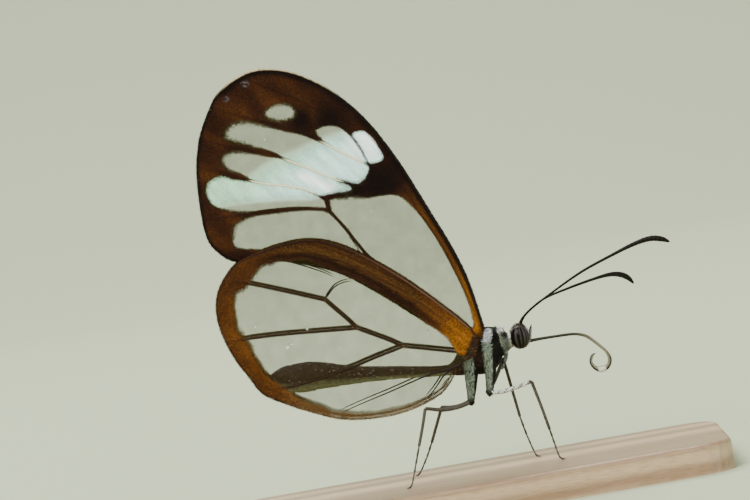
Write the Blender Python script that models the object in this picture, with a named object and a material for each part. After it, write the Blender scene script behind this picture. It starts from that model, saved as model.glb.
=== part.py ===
"""A glasswing butterfly at rest with its wings closed over its back, at life size on a flat display base.

Sizes are in millimetres, turned into metres where a mesh is made. Places are measured from the middle of
the thorax: x runs towards the head, y towards the butterfly's left side and z up. The right side is the
one that shows when the butterfly faces right.
"""

import functools
import math

import bmesh
import bpy
import numpy as np
from mathutils import Vector
from mathutils.geometry import delaunay_2d_cdt

MM = 0.001
GAP = 0.25
RIGHT, LEFT = -1, 1
SIDE_NAMES = {RIGHT: "right", LEFT: "left"}

# The stand and how the butterfly sits over it
BASE_LENGTH, BASE_DEPTH, BASE_THICKNESS = 40.0, 20.0, 2.4
BASE_CORNER, BASE_EDGE = 3.0, 0.3
THORAX_FORWARD = 1.9
THORAX_ABOVE_FEET = 9.3
THORAX_ABOVE_FLOOR = BASE_THICKNESS + GAP + THORAX_ABOVE_FEET

# Wings
WING_THICKNESS = 0.5
VEIN_HALF_WIDTH, VEIN_HEIGHT = 0.3, 0.12
RIM_CLEARANCE = 0.45
FOREWING_ROOT, FOREWING_LEAN = (0.16, 1.35), 125.5
HINDWING_ROOT, HINDWING_LEAN = (-0.80, 0.50), 160.4
FOREWING_APART, HINDWING_APART = 0.52, 1.66

# Body
HEAD_CENTRE, HEAD_RADII, HEAD_HALF_WIDTH = (3.24, 0.60), (0.72, 0.96), 0.42
EYE_RADII, EYE_DEPTH = (0.80, 0.95), 0.58
LIMB_RADIUS = 0.25
FEELER_RADIUS = 0.25


def material(name, colour, roughness, alpha=1.0):
    """One finish: a colour, how dull it is and how solid it looks."""
    finish = bpy.data.materials.new(name)
    finish.use_nodes = True
    shader = finish.node_tree.nodes["Principled BSDF"]
    shader.inputs["Base Color"].default_value = (*colour, 1.0)
    shader.inputs["Roughness"].default_value = roughness
    shader.inputs["Alpha"].default_value = alpha
    finish.diffuse_color = (*colour, alpha)
    return finish


def smooth_line(points, count, closed=False):
    """Places evenly spaced along a Catmull-Rom curve through the points, whatever their dimension."""
    points = np.array(points, float)
    if closed:
        padded = np.vstack([points[-1], points, points[:2]])
    else:
        padded = np.vstack([2 * points[0] - points[1], points, 2 * points[-1] - points[-2]])
    steps = np.linspace(0, 1, 13)[:-1, None]
    fine = []
    for a, b, c, d in zip(padded, padded[1:], padded[2:], padded[3:]):
        curve = 2 * b + (c - a) * steps + (2 * a - 5 * b + 4 * c - d) * steps**2
        fine.append((curve + (3 * b - a - 3 * c + d) * steps**3) / 2)
    fine = np.vstack([*fine, padded[-2]])
    run = np.concatenate([[0], np.cumsum(np.linalg.norm(np.diff(fine[:, :3], axis=0), axis=1))])
    stops = np.linspace(0, run[-1], count + 1 if closed else count)
    found = np.column_stack([np.interp(stops, run, column) for column in fine.T])
    return found[:-1] if closed else found


def add_object(name, mesh, finish, location=(0, 0, 0)):
    """An object for the mesh, its origin at the given place in millimetres from the thorax."""
    made = bpy.data.objects.new(name, mesh)
    bpy.context.scene.collection.objects.link(made)
    made.location = Vector(location) * MM
    made.parent = bpy.data.objects["butterfly"]
    mesh.materials.append(finish)
    mesh.shade_smooth()
    mesh.set_sharp_from_angle(angle=math.radians(50))
    return made


def tapered_mesh(name, stations, count, resolution, squash=1.0, grow=0.0):
    """A closed round solid along a smooth line of places with radii, flattened in y by squash."""
    line = smooth_line(stations, count)
    line[0, :3] -= grow * unit(line[1, :3] - line[0, :3])
    line[-1, :3] += grow * unit(line[-1, :3] - line[-2, :3])
    curve = bpy.data.curves.new(name, "CURVE")
    curve.dimensions = "3D"
    curve.fill_mode = "FULL"
    curve.use_fill_caps = True
    curve.bevel_depth = MM
    curve.bevel_resolution = resolution
    spline = curve.splines.new("POLY")
    spline.points.add(len(line) - 1)
    for point, (x, y, z, radius) in zip(spline.points, line):
        point.co = (x * MM, y * MM, z * MM, 1)
        point.radius = radius + grow
    guide = bpy.data.objects.new(name, curve)
    mesh = bpy.data.meshes.new_from_object(guide)
    bpy.data.objects.remove(guide)
    bpy.data.curves.remove(curve)
    middle = float(np.mean(line[:, 1])) * MM
    shape = bmesh.new()
    shape.from_mesh(mesh)
    bmesh.ops.remove_doubles(shape, verts=shape.verts, dist=1e-6)
    for vertex in shape.verts:
        vertex.co.y = middle + (vertex.co.y - middle) * squash
    bmesh.ops.recalc_face_normals(shape, faces=shape.faces)
    shape.to_mesh(mesh)
    shape.free()
    mesh.name = name
    return mesh


def unit(direction):
    return direction / np.linalg.norm(direction)


def cut_by(child, name, mesh):
    """Takes a hidden solid, the parent swollen by the gap, away from the root of what grows from it."""
    cutter = bpy.data.objects.get(name)
    if cutter is None:
        cutter = bpy.data.objects.new(name, mesh())
        bpy.context.scene.collection.objects.link(cutter)
        cutter.parent = bpy.data.objects["butterfly"]
        cutter.hide_render = True
        cutter.display_type = "WIRE"
    root = child.modifiers.new("meet_" + name, "BOOLEAN")
    root.operation = "DIFFERENCE"
    root.object = cutter


# Thorax, the collar behind the head, and abdomen

THORAX_STATIONS = [
    (-2.15, 0, -0.95, 0.30),
    (-1.98, 0, -0.84, 0.70),
    (-1.50, 0, -0.44, 1.24),
    (-0.90, 0, -0.18, 1.60),
    (-0.20, 0, -0.08, 1.82),
    (0.50, 0, 0.00, 1.85),
    (1.05, 0, 0.12, 1.66),
    (1.38, 0, 0.32, 1.34),
    (1.54, 0, 0.44, 1.00),
    (1.60, 0, 0.48, 0.70),
]
PROTHORAX_STATIONS = [
    (1.50, 0, 0.60, 0.60),
    (1.76, 0, 0.62, 1.00),
    (2.10, 0, 0.62, 1.04),
    (2.38, 0, 0.60, 0.90),
    (2.56, 0, 0.58, 0.55),
]
ABDOMEN_STATIONS = [
    (-1.90, 0, -1.02, 0.30),
    (-2.60, 0, -1.16, 0.40),
    (-4.20, 0, -0.98, 0.45),
    (-6.70, 0, -0.58, 0.54),
    (-9.40, 0, -0.24, 0.68),
    (-11.40, 0, 0.05, 0.92),
    (-13.20, 0, 0.32, 1.18),
    (-14.80, 0, 0.38, 1.24),
    (-16.00, 0, 0.50, 0.98),
    (-16.90, 0, 0.66, 0.46),
    (-17.20, 0, 0.72, 0.20),
]
ABDOMEN_SEGMENTS, SEGMENT_GROOVE = 8, 0.045
THORAX_SQUASH, ABDOMEN_SQUASH = 0.76, 0.84


def thorax_mesh(grow=0.0):
    return tapered_mesh("thorax", THORAX_STATIONS, 18, 7, squash=THORAX_SQUASH, grow=grow)


def collar_mesh(grow=0.0):
    return tapered_mesh("prothorax", PROTHORAX_STATIONS, 9, 6, squash=THORAX_SQUASH, grow=grow)


def make_thorax(finish):
    add_object("thorax", thorax_mesh(), finish)
    collar = add_object("prothorax", collar_mesh(), finish)
    cut_by(collar, "swollen_thorax", lambda: thorax_mesh(GAP))
    cut_by(collar, "swollen_head", lambda: head_mesh(GAP))


def make_abdomen(finish):
    """The slender abdomen, clubbed at its end, with a shallow groove between one segment and the next."""
    mesh = tapered_mesh("abdomen", ABDOMEN_STATIONS, 41, 4, squash=ABDOMEN_SQUASH)
    front, back = ABDOMEN_STATIONS[0][0], ABDOMEN_STATIONS[-1][0]
    heights = [(s[0], s[2]) for s in reversed(ABDOMEN_STATIONS)]
    for vertex in mesh.vertices:
        x, z = vertex.co.x / MM, vertex.co.z / MM
        phase = (x - front) / (back - front) * ABDOMEN_SEGMENTS
        groove = SEGMENT_GROOVE * (0.5 + 0.5 * math.cos(2 * math.pi * phase))
        centre = np.interp(x, *zip(*heights))
        outward = Vector((0, vertex.co.y / MM, z - centre))
        if outward.length > 2 * SEGMENT_GROOVE:
            vertex.co -= outward.normalized() * groove * MM
    abdomen = add_object("abdomen", mesh, finish)
    cut_by(abdomen, "swollen_thorax", lambda: thorax_mesh(GAP))


# Head, eyes, palps, feelers and tongue

PALP_LINE = [
    (3.45, 0.28, -0.05, 0.22),
    (3.72, 0.34, -0.48, 0.25),
    (4.10, 0.48, -0.32, 0.25),
    (4.36, 0.54, 0.14, 0.24),
    (4.42, 0.52, 0.72, 0.19),
    (4.38, 0.48, 1.30, 0.07),
]
RIGHT_FEELER_LINE = [
    (3.45, -0.34, 1.20, 1.0),
    (3.66, -0.40, 1.86, 1.0),
    (4.43, -0.62, 2.58, 1.0),
    (6.23, -1.05, 3.58, 1.0),
    (8.90, -1.70, 4.92, 1.0),
    (11.50, -2.30, 5.88, 1.02),
    (14.07, -2.85, 6.66, 1.15),
    (15.29, -3.05, 6.66, 1.15),
    (16.26, -3.20, 6.22, 0.5),
]
LEFT_FEELER_LINE = [
    (3.45, 0.34, 1.20, 1.0),
    (3.64, 0.42, 1.84, 1.0),
    (4.40, 0.85, 2.44, 1.0),
    (5.76, 1.95, 3.10, 1.0),
    (7.87, 3.70, 3.46, 1.0),
    (10.38, 5.80, 3.72, 1.02),
    (12.01, 7.20, 3.70, 1.15),
    (12.92, 8.00, 3.32, 1.15),
    (13.44, 8.40, 2.60, 0.5),
]
TONGUE_RADIUS = 0.25
TONGUE_LINE = [
    (3.70, 0, 0.12, 1.0),
    (4.60, 0, 0.14, 1.0),
    (6.83, 0, 0.07, 0.95),
    (8.03, 0, -0.06, 0.95),
    (8.66, 0, -0.40, 0.95),
    (9.44, 0, -1.26, 0.95),
    (9.92, 0, -1.86, 0.95),
]
TONGUE_LENGTHS = {"tongue_shaft": (0.0, 0.66), "tongue_bend": (0.66, 1.0)}
CURL_CENTRE, CURL_RADIUS = (9.30, -2.42), 0.75
CURL_START, CURL_TURN = 22.0, -265.0


def head_mesh(grow=0.0):
    """The head capsule between the eyes: an upright drum, oval from the side, with softened edges."""
    shape = bmesh.new()
    bmesh.ops.create_cone(
        shape, cap_ends=True, segments=24, radius1=1, radius2=1, depth=2 * (HEAD_HALF_WIDTH + grow)
    )
    for vertex in shape.verts:
        x, y, z = vertex.co
        vertex.co = (x * (HEAD_RADII[0] + grow), z, -y * (HEAD_RADII[1] + grow))
    edges = [e for e in shape.edges if abs(e.verts[0].co.y - e.verts[1].co.y) < 1e-6]
    bmesh.ops.bevel(shape, geom=edges, offset=0.14, segments=2, affect="EDGES")
    for vertex in shape.verts:
        vertex.co = (vertex.co + Vector((HEAD_CENTRE[0], 0, HEAD_CENTRE[1]))) * MM
    bmesh.ops.recalc_face_normals(shape, faces=shape.faces)
    mesh = bpy.data.meshes.new("head")
    shape.to_mesh(mesh)
    shape.free()
    return mesh


def make_eye(side, finish):
    """A half dome whose flat back faces the side of the head."""
    shape = bmesh.new()
    bmesh.ops.create_uvsphere(shape, u_segments=20, v_segments=12, radius=1)
    for vertex in shape.verts:
        x, y, z = vertex.co
        vertex.co = (x * EYE_RADII[0], z * EYE_DEPTH, -y * EYE_RADII[1])
    whole = shape.verts[:] + shape.edges[:] + shape.faces[:]
    cut = bmesh.ops.bisect_plane(
        shape, geom=whole, plane_co=(0, 0, 0), plane_no=(0, -side, 0), clear_outer=True
    )
    rim = [e for e in cut["geom_cut"] if isinstance(e, bmesh.types.BMEdge)]
    bmesh.ops.contextual_create(shape, geom=rim)
    bmesh.ops.scale(shape, vec=(MM, MM, MM), verts=shape.verts)
    bmesh.ops.recalc_face_normals(shape, faces=shape.faces)
    name = "eye_" + SIDE_NAMES[side]
    mesh = bpy.data.meshes.new(name)
    shape.to_mesh(mesh)
    shape.free()
    place = (HEAD_CENTRE[0], side * (HEAD_HALF_WIDTH + GAP), HEAD_CENTRE[1])
    add_object(name, mesh, finish, place)


def make_head(body, eye, dark):
    add_object("head", head_mesh(), body)
    for side, name in SIDE_NAMES.items():
        make_eye(side, eye)
        line = [(x, side * y, z, r) for x, y, z, r in PALP_LINE]
        palp = add_object("palp_" + name, tapered_mesh("palp", line, 10, 2), body)
        cut_by(palp, "swollen_head", lambda: head_mesh(GAP))
    for name, line in (("right", RIGHT_FEELER_LINE), ("left", LEFT_FEELER_LINE)):
        line = [(x, y, z, FEELER_RADIUS * r) for x, y, z, r in line]
        feeler = add_object("antenna_" + name, tapered_mesh("antenna", line, 30, 2), dark)
        cut_by(feeler, "swollen_head", lambda: head_mesh(GAP))


def make_tongue(finish):
    """The tongue: a straight shaft, a falling bend, and a curl that nearly closes on itself."""
    whole = smooth_line(TONGUE_LINE, 61)
    whole[:, 3] *= TONGUE_RADIUS
    run = np.linspace(0, 1, len(whole))
    shaft_length = 14.0
    for name, (start, end) in TONGUE_LENGTHS.items():
        inset = GAP / 2 / shaft_length
        part = whole[(run >= start + (start > 0) * inset) & (run <= end - inset)]
        made = add_object(name, tapered_mesh(name, part, 14, 2), finish)
        if start == 0:
            cut_by(made, "swollen_head", lambda: head_mesh(GAP))
    turn = np.radians(CURL_START + np.linspace(0, CURL_TURN, 19))
    shrink = np.linspace(1, 0.86, len(turn)) * CURL_RADIUS
    taper = np.linspace(0.95, 0.55, len(turn)) * TONGUE_RADIUS
    curl = np.column_stack(
        [
            CURL_CENTRE[0] + shrink * np.cos(turn),
            np.zeros(len(turn)),
            CURL_CENTRE[1] + shrink * np.sin(turn),
            taper,
        ]
    )
    add_object("tongue_curl", tapered_mesh("tongue_curl", curl, 19, 2), finish)


# Legs

LEG_LINES = {
    "mid_right": {
        "coxa": [(0.62, -0.72, -0.60, 0.50), (0.40, -0.80, -2.00, 0.44), (0.14, -0.82, -3.36, 0.30)],
        "femur": [(0.14, -0.88, -3.20, 0.25), (1.90, -1.60, -3.30, 0.27), (3.62, -2.25, -2.93, 0.25)],
        "tibia": [(3.46, -2.20, -2.90, 0.25), (3.92, -2.42, -5.00, 0.24), (4.28, -2.60, -7.10, 0.25)],
        "tarsus": [(4.26, -2.59, -7.00, 0.25), (4.48, -2.66, -8.20, 0.24), (4.78, -2.72, -9.70, 0.25)],
    },
    "mid_left": {
        "coxa": [(0.62, 0.72, -0.60, 0.50), (0.40, 0.80, -2.00, 0.44), (0.14, 0.82, -3.36, 0.30)],
        "femur": [(0.14, 0.88, -3.30, 0.25), (0.98, 1.62, -2.20, 0.27), (1.86, 2.27, -1.02, 0.25)],
        "tibia": [(1.74, 2.20, -1.10, 0.25), (1.98, 2.42, -3.60, 0.24), (2.24, 2.60, -6.12, 0.25)],
        "tarsus": [(2.22, 2.59, -6.02, 0.25), (2.58, 2.72, -7.70, 0.24), (3.14, 2.84, -9.70, 0.25)],
    },
    "hind_right": {
        "coxa": [(-0.78, -0.66, -0.80, 0.50), (-1.10, -0.76, -2.20, 0.48), (-1.46, -0.80, -3.78, 0.30)],
        "femur": [(-1.46, -0.86, -3.62, 0.25), (-3.40, -1.90, -3.84, 0.27), (-5.34, -2.89, -3.37, 0.25)],
        "tibia": [(-5.14, -2.80, -3.36, 0.25), (-5.70, -3.20, -4.90, 0.24), (-6.28, -3.60, -6.52, 0.25)],
        "tarsus": [(-6.26, -3.58, -6.42, 0.25), (-6.78, -3.92, -7.90, 0.24), (-7.44, -4.24, -9.70, 0.25)],
    },
    "hind_left": {
        "coxa": [(-0.78, 0.66, -0.80, 0.50), (-1.10, 0.76, -2.20, 0.48), (-1.46, 0.80, -3.78, 0.30)],
        "femur": [(-1.46, 0.86, -3.66, 0.25), (-2.70, 1.90, -4.10, 0.27), (-4.00, 2.93, -4.16, 0.25)],
        "tibia": [(-3.80, 2.80, -4.10, 0.25), (-4.52, 3.40, -5.60, 0.24), (-5.16, 3.94, -7.08, 0.25)],
        "tarsus": [(-5.14, 3.92, -6.98, 0.25), (-5.82, 4.40, -8.30, 0.24), (-6.62, 4.82, -9.70, 0.25)],
    },
}
LEG_ORDER = ("coxa", "femur", "tibia", "tarsus")
LEG_RINGS = {"coxa": (8, 4), "femur": (7, 2), "tibia": (7, 2), "tarsus": (7, 2)}
FORELEG_LINE = [
    (2.16, 0.36, 0.10, 0.24),
    (2.20, 0.46, -0.56, 0.27),
    (2.04, 0.48, -1.18, 0.25),
    (1.76, 0.46, -1.82, 0.14),
]


def make_leg(leg, pieces, finish):
    """Coxa, femur, tibia and tarsus, each cut clear of the one above it, and the foot cut flat."""
    above = None
    for piece in LEG_ORDER:
        name = f"{piece}_{leg}"
        line, (rings, resolution) = pieces[piece], LEG_RINGS[piece]
        made = add_object(name, tapered_mesh(name, line, rings, resolution), finish)
        if above is None:
            cut_by(made, "swollen_thorax", lambda: thorax_mesh(GAP))
        else:
            swollen, upper = f"swollen_{above}_{leg}", pieces[above]
            count, sides = LEG_RINGS[above]
            grown = functools.partial(tapered_mesh, swollen, upper, count, sides, grow=GAP)
            cut_by(made, swollen, grown)
        above = piece
    cut_by(made, "swollen_base", floor_mesh)


def floor_mesh():
    """A block whose top is the level of the feet."""
    shape = bmesh.new()
    bmesh.ops.create_cube(shape, size=1)
    for vertex in shape.verts:
        x, y, z = vertex.co
        vertex.co = (x * BASE_LENGTH * MM, y * BASE_DEPTH * MM, (z - 0.5 - THORAX_ABOVE_FEET) * MM)
    mesh = bpy.data.meshes.new("swollen_base")
    shape.to_mesh(mesh)
    shape.free()
    return mesh


def make_forelegs(finish):
    """The small front legs, folded up under the collar and not used for standing."""
    for side, name in SIDE_NAMES.items():
        line = [(x, side * y, z, r) for x, y, z, r in FORELEG_LINE]
        made = add_object("foreleg_" + name, tapered_mesh("foreleg", line, 8, 2), finish)
        cut_by(made, "swollen_thorax", lambda: thorax_mesh(GAP))
        cut_by(made, "swollen_collar", lambda: collar_mesh(GAP))


# Wings. Outlines and veins are in each wing's own plane: along it from root to tip, and across it,
# above zero towards the leading edge

FOREWING_OUTLINE = [
    (-0.7, 0.1),
    (1.1, 1.1),
    (3.7, 2.4),
    (9.8, 4.2),
    (14.5, 5.3),
    (18.4, 5.8),
    (21.6, 5.6),
    (25.4, 4.2),
    (27.9, 1.8),
    (28.4, -1.0),
    (27.4, -3.8),
    (24.7, -7.1),
    (21.5, -9.5),
    (19.7, -10.0),
    (17.8, -9.4),
    (15.4, -6.9),
    (11.7, -4.5),
    (7.9, -3.3),
    (4.0, -2.4),
    (1.2, -1.4),
    (-0.7, -0.5),
]
FOREWING_VEINS = {
    "costa": [(0.0, 0.2), (3.4, 1.9), (9.8, 3.8), (14.5, 4.9), (18.4, 5.3)],
    "cubitus": [(0.0, -0.3), (4.0, -0.7), (7.8, -1.2), (11.8, -2.0), (15.7, -1.3)],
    "cell_end": [(15.7, -1.3), (16.4, -0.8), (15.0, 1.8), (15.2, 2.8), (14.4, 4.4)],
    "cubitus_2": [(11.8, -2.0), (14.6, -4.2), (17.2, -6.6), (19.6, -9.2)],
    "cubitus_1": [(15.7, -1.3), (17.3, -2.9), (18.9, -4.7), (22.2, -8.4)],
    "media_3": [(16.4, -0.8), (19.1, -2.2), (21.2, -3.8), (25.0, -6.2)],
    "media_2": [(15.0, 1.8), (17.0, 0.7), (20.8, -0.9), (24.1, -2.9), (26.6, -4.2)],
    "media_1": [(15.2, 2.8), (17.5, 2.9), (19.8, 2.1), (24.2, 0.0), (27.6, -2.0)],
    "radius_5": [(15.2, 2.8), (18.2, 3.9), (21.6, 3.6), (27.4, 1.6)],
    "anal": [(0.0, -0.3), (3.8, -2.0), (8.0, -2.9), (12.0, -4.1), (15.6, -6.4), (18.0, -9.0)],
}
HINDWING_OUTLINE = [
    (-0.6, 0.4),
    (0.1, 1.4),
    (2.9, 3.0),
    (6.5, 4.7),
    (9.9, 5.9),
    (13.2, 6.4),
    (16.0, 5.7),
    (19.2, 3.7),
    (20.4, 1.6),
    (20.5, -0.3),
    (19.4, -2.7),
    (17.0, -5.3),
    (15.6, -6.5),
    (11.4, -7.2),
    (8.9, -7.3),
    (6.2, -6.7),
    (3.9, -5.7),
    (1.9, -4.2),
    (1.1, -2.9),
    (0.6, -1.4),
    (-0.6, -0.4),
]
HINDWING_VEINS = {
    "costa": [(0.0, 0.3), (4.3, 1.9), (7.8, 3.2), (11.6, 4.2), (15.0, 4.4), (18.8, 3.6)],
    "cubitus": [(0.0, -0.2), (1.8, -0.7), (5.3, -0.9), (9.4, -0.1), (12.0, 1.8)],
    "cell_end": [(12.0, 1.8), (11.5, 3.0), (10.2, 3.9)],
    "media_1": [(12.0, 1.8), (15.8, 2.0), (20.0, 2.1)],
    "media_3": [(9.4, -0.1), (13.6, -1.2), (16.5, -2.0), (19.2, -2.8)],
    "cubitus_2": [(5.3, -0.9), (9.2, -3.3), (11.4, -4.5), (15.4, -6.1)],
    "anal_1": [(0.4, -0.6), (1.4, -1.9), (4.9, -4.5), (8.4, -6.8)],
    "anal_2": [(1.4, -1.9), (2.2, -3.4), (2.8, -4.6)],
}
RIM_POINTS, VEIN_SPACING, FILL_SPACING = 92, 1.4, 2.0


def bump(distance, width):
    """A smooth hump, one at its middle and gone at about twice its width."""
    return np.exp(-((distance / width) ** 2))


def distance_to(points, place):
    return np.hypot(points[:, 0] - place[0], points[:, 1] - place[1])


def forewing_apart(places):
    """How far a forewing's middle stands from the mid plane: it leans in from the shoulder."""
    return FOREWING_APART + 0.50 * bump(distance_to(places, FOREWING_ROOT), 3.5)


def hindwing_apart(places):
    """The hindwing lies outside the forewing and clears the abdomen and the side of the thorax."""
    root, rear = distance_to(places, HINDWING_ROOT), distance_to(places, (-14.2, 0.4))
    return HINDWING_APART + 0.22 * bump(root, 2.6) + 0.14 * bump(rear, 3.0)


def distance_to_line(points, line):
    """The shortest distance from each point to a run of straight pieces."""
    starts, ends = line[:-1], line[1:]
    along = ends - starts
    share = np.einsum("pij,ij->pi", points[:, None] - starts[None], along) / (along**2).sum(1)
    nearest = starts[None] + np.clip(share, 0, 1)[..., None] * along[None]
    return np.linalg.norm(points[:, None] - nearest, axis=2).min(1)


def wing_plan(outline, veins):
    """The wing's outline and veins as one flat triangulation, and each point's share of vein height."""
    rim = smooth_line(outline, RIM_POINTS, closed=True)
    points, edges = list(rim), [(i, (i + 1) % RIM_POINTS) for i in range(RIM_POINTS)]
    closed_rim = np.vstack([rim, rim[:1]])
    lines = []
    for vein in veins.values():
        length = np.linalg.norm(np.diff(np.array(vein), axis=0), axis=1).sum()
        line = smooth_line(vein, max(3, round(length / VEIN_SPACING) + 1))
        lines.append(line)
        along = np.gradient(line, axis=0)
        across = np.column_stack([-along[:, 1], along[:, 0]]) / np.linalg.norm(along, axis=1)[:, None]
        for shift in (-VEIN_HALF_WIDTH, 0, VEIN_HALF_WIDTH):
            row = line + across * shift
            row = row[distance_to_line(row, closed_rim) > RIM_CLEARANCE / 2]
            edges += [(len(points) + i, len(points) + i + 1) for i in range(len(row) - 1)]
            points += list(row)
    low, high = rim.min(0), rim.max(0)
    grid = np.stack(np.meshgrid(*(np.arange(a, b, FILL_SPACING) for a, b in zip(low, high))), -1)
    grid = grid.reshape(-1, 2)
    near = np.minimum(distance_to_line(grid, closed_rim), min_distance(grid, lines))
    points += list(grid[near > 0.4 * FILL_SPACING])
    made = delaunay_2d_cdt([Vector(p) for p in points], edges, [list(range(RIM_POINTS))], 1, 1e-4)
    flat = np.array([tuple(v) for v in made[0]])
    faces = np.array(made[2])
    middle = flat[faces].mean(1)
    faces = faces[inside(middle, rim)]
    used = np.unique(faces)
    back = np.full(len(flat), -1)
    back[used] = np.arange(len(used))
    flat, faces = flat[used], back[faces]
    height = np.clip(1 - min_distance(flat, lines) / VEIN_HALF_WIDTH, 0, 1)
    height *= distance_to_line(flat, closed_rim) > RIM_CLEARANCE / 3
    return flat, faces, height


def min_distance(points, lines):
    return np.min([distance_to_line(points, line) for line in lines], axis=0)


def inside(points, outline):
    """True for the points inside a closed outline, counting crossings of a ray."""
    a, b = outline, np.roll(outline, -1, axis=0)
    x, y = points[:, :1], points[:, 1:]
    spans = (a[:, 1] > y) != (b[:, 1] > y)
    rise = np.where(b[:, 1] == a[:, 1], 1, b[:, 1] - a[:, 1])
    return ((spans & (x < (b[:, 0] - a[:, 0]) * (y - a[:, 1]) / rise + a[:, 0])).sum(1) % 2).astype(bool)


def make_wing(name, side, root, lean, outline, veins, apart, finish):
    """A thin sheet, split alike on both faces, with its veins raised in its own surface."""
    flat, faces, height = wing_plan(outline, veins)
    angle = math.radians(lean)
    along = np.array([math.cos(angle), math.sin(angle)])
    towards_front = np.array([math.sin(angle), -math.cos(angle)])
    offset = flat[:, :1] * along + flat[:, 1:] * towards_front
    middle = side * apart(offset + np.array(root))
    half = WING_THICKNESS / 2 + VEIN_HEIGHT * height
    outer = np.column_stack([offset[:, 0], middle + half, offset[:, 1]])
    inner = np.column_stack([offset[:, 0], middle - half, offset[:, 1]])
    count = len(flat)
    sides = np.concatenate([faces[:, [0, 1]], faces[:, [1, 2]], faces[:, [2, 0]]])
    held = {tuple(e) for e in sides}
    rim = [e for e in map(tuple, sides) if e[::-1] not in held]
    walls = [(a, a + count, b + count, b) for a, b in rim]
    mesh = bpy.data.meshes.new(name)
    every = [tuple(f) for f in faces] + [tuple(f[::-1] + count) for f in faces] + walls
    mesh.from_pydata(np.vstack([outer, inner]) * MM, [], every)
    shape = bmesh.new()
    shape.from_mesh(mesh)
    bmesh.ops.recalc_face_normals(shape, faces=shape.faces)
    shape.to_mesh(mesh)
    shape.free()
    wing = add_object(f"{name}_{SIDE_NAMES[side]}", mesh, finish, (root[0], 0, root[1]))
    cut_by(wing, "swollen_thorax", lambda: thorax_mesh(GAP))


def make_base(finish):
    """A flat plate with rounded corners and a softened edge."""
    shape = bmesh.new()
    bmesh.ops.create_cube(shape, size=1)
    for vertex in shape.verts:
        x, y, z = vertex.co
        vertex.co = (x * BASE_LENGTH * MM, y * BASE_DEPTH * MM, (z + 0.5) * BASE_THICKNESS * MM)
    upright = [e for e in shape.edges if abs(e.verts[0].co.z - e.verts[1].co.z) > MM]
    bmesh.ops.bevel(shape, geom=upright, offset=BASE_CORNER * MM, segments=5, affect="EDGES", profile=0.5)
    level = [e for e in shape.edges if all(v.co.z > BASE_THICKNESS * MM * 0.99 for v in e.verts)]
    bmesh.ops.bevel(shape, geom=level, offset=BASE_EDGE * MM, segments=2, affect="EDGES", profile=0.5)
    mesh = bpy.data.meshes.new("stand_base")
    shape.to_mesh(mesh)
    shape.free()
    mesh.materials.append(finish)
    mesh.shade_smooth()
    mesh.set_sharp_from_angle(angle=math.radians(30))
    bpy.context.scene.collection.objects.link(bpy.data.objects.new("stand_base", mesh))


for old in list(bpy.data.objects):
    bpy.data.objects.remove(old)
holder = bpy.data.objects.new("butterfly", None)
holder.location = (THORAX_FORWARD * MM, 0, THORAX_ABOVE_FLOOR * MM)
bpy.context.scene.collection.objects.link(holder)

body_scales = material("body_scales", (0.10, 0.085, 0.075), 0.85)
leg_scales = material("leg_scales", (0.16, 0.14, 0.12), 0.8)
eye_facets = material("eye_facets", (0.10, 0.09, 0.10), 0.25)
feeler_dark = material("feeler_dark", (0.03, 0.025, 0.02), 0.6)
wing_membrane = material("wing_membrane", (0.34, 0.22, 0.12), 0.35, 0.55)
stand_wood = material("stand_wood", (0.62, 0.50, 0.36), 0.5)

make_thorax(body_scales)
make_abdomen(body_scales)
make_head(body_scales, eye_facets, feeler_dark)
make_tongue(feeler_dark)
for leg, pieces in LEG_LINES.items():
    make_leg(leg, pieces, leg_scales)
make_forelegs(leg_scales)
for side in (RIGHT, LEFT):
    fore = ("forewing", side, FOREWING_ROOT, FOREWING_LEAN, FOREWING_OUTLINE, FOREWING_VEINS)
    make_wing(*fore, forewing_apart, wing_membrane)
    hind = ("hindwing", side, HINDWING_ROOT, HINDWING_LEAN, HINDWING_OUTLINE, HINDWING_VEINS)
    make_wing(*hind, hindwing_apart, wing_membrane)
make_base(stand_wood)
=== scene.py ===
"""The looks of a glasswing butterfly that stands on a small wooden base with its wings closed, at life size.

Places are worked out in millimetres from the middle of the thorax, as the solids' are: x runs towards the
head, y towards the butterfly's left side and z up. A mesh is put in the frame's metres as it is made.
"""

import math

import bpy
import numpy as np
from mathutils import Matrix, Vector


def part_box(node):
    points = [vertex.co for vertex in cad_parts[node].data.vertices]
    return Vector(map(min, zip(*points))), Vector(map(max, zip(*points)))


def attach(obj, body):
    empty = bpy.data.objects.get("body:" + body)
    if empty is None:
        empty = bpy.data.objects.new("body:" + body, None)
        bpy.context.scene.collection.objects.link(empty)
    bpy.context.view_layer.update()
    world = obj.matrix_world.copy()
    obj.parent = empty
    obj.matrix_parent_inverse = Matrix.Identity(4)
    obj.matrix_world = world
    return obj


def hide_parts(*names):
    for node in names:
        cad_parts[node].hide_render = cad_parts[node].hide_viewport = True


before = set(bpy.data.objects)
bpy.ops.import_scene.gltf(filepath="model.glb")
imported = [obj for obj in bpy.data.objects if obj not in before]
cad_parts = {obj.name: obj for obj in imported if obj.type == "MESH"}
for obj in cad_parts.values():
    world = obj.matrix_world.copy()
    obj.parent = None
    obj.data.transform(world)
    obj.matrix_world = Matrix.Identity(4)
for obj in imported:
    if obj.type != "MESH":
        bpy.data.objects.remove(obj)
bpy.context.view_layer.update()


# The base is a plate of pale, oiled wood whose grain runs along it. Its solid has the right shape already,
# so it only gets its finish. It is the first piece, since the feet's level and all the rest follow from it.

MM = 0.001


class Wire:
    """A socket that carries values: arithmetic on wires adds Math nodes to the material's tree."""

    def __init__(self, finish, socket):
        self.finish, self.socket = finish, socket

    def __add__(self, other):
        return self.finish.maths("ADD", self, other)

    def __sub__(self, other):
        return self.finish.maths("SUBTRACT", self, other)

    def __rsub__(self, other):
        return self.finish.maths("SUBTRACT", other, self)

    def __mul__(self, other):
        return self.finish.maths("MULTIPLY", self, other)

    __radd__, __rmul__ = __add__, __mul__


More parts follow.
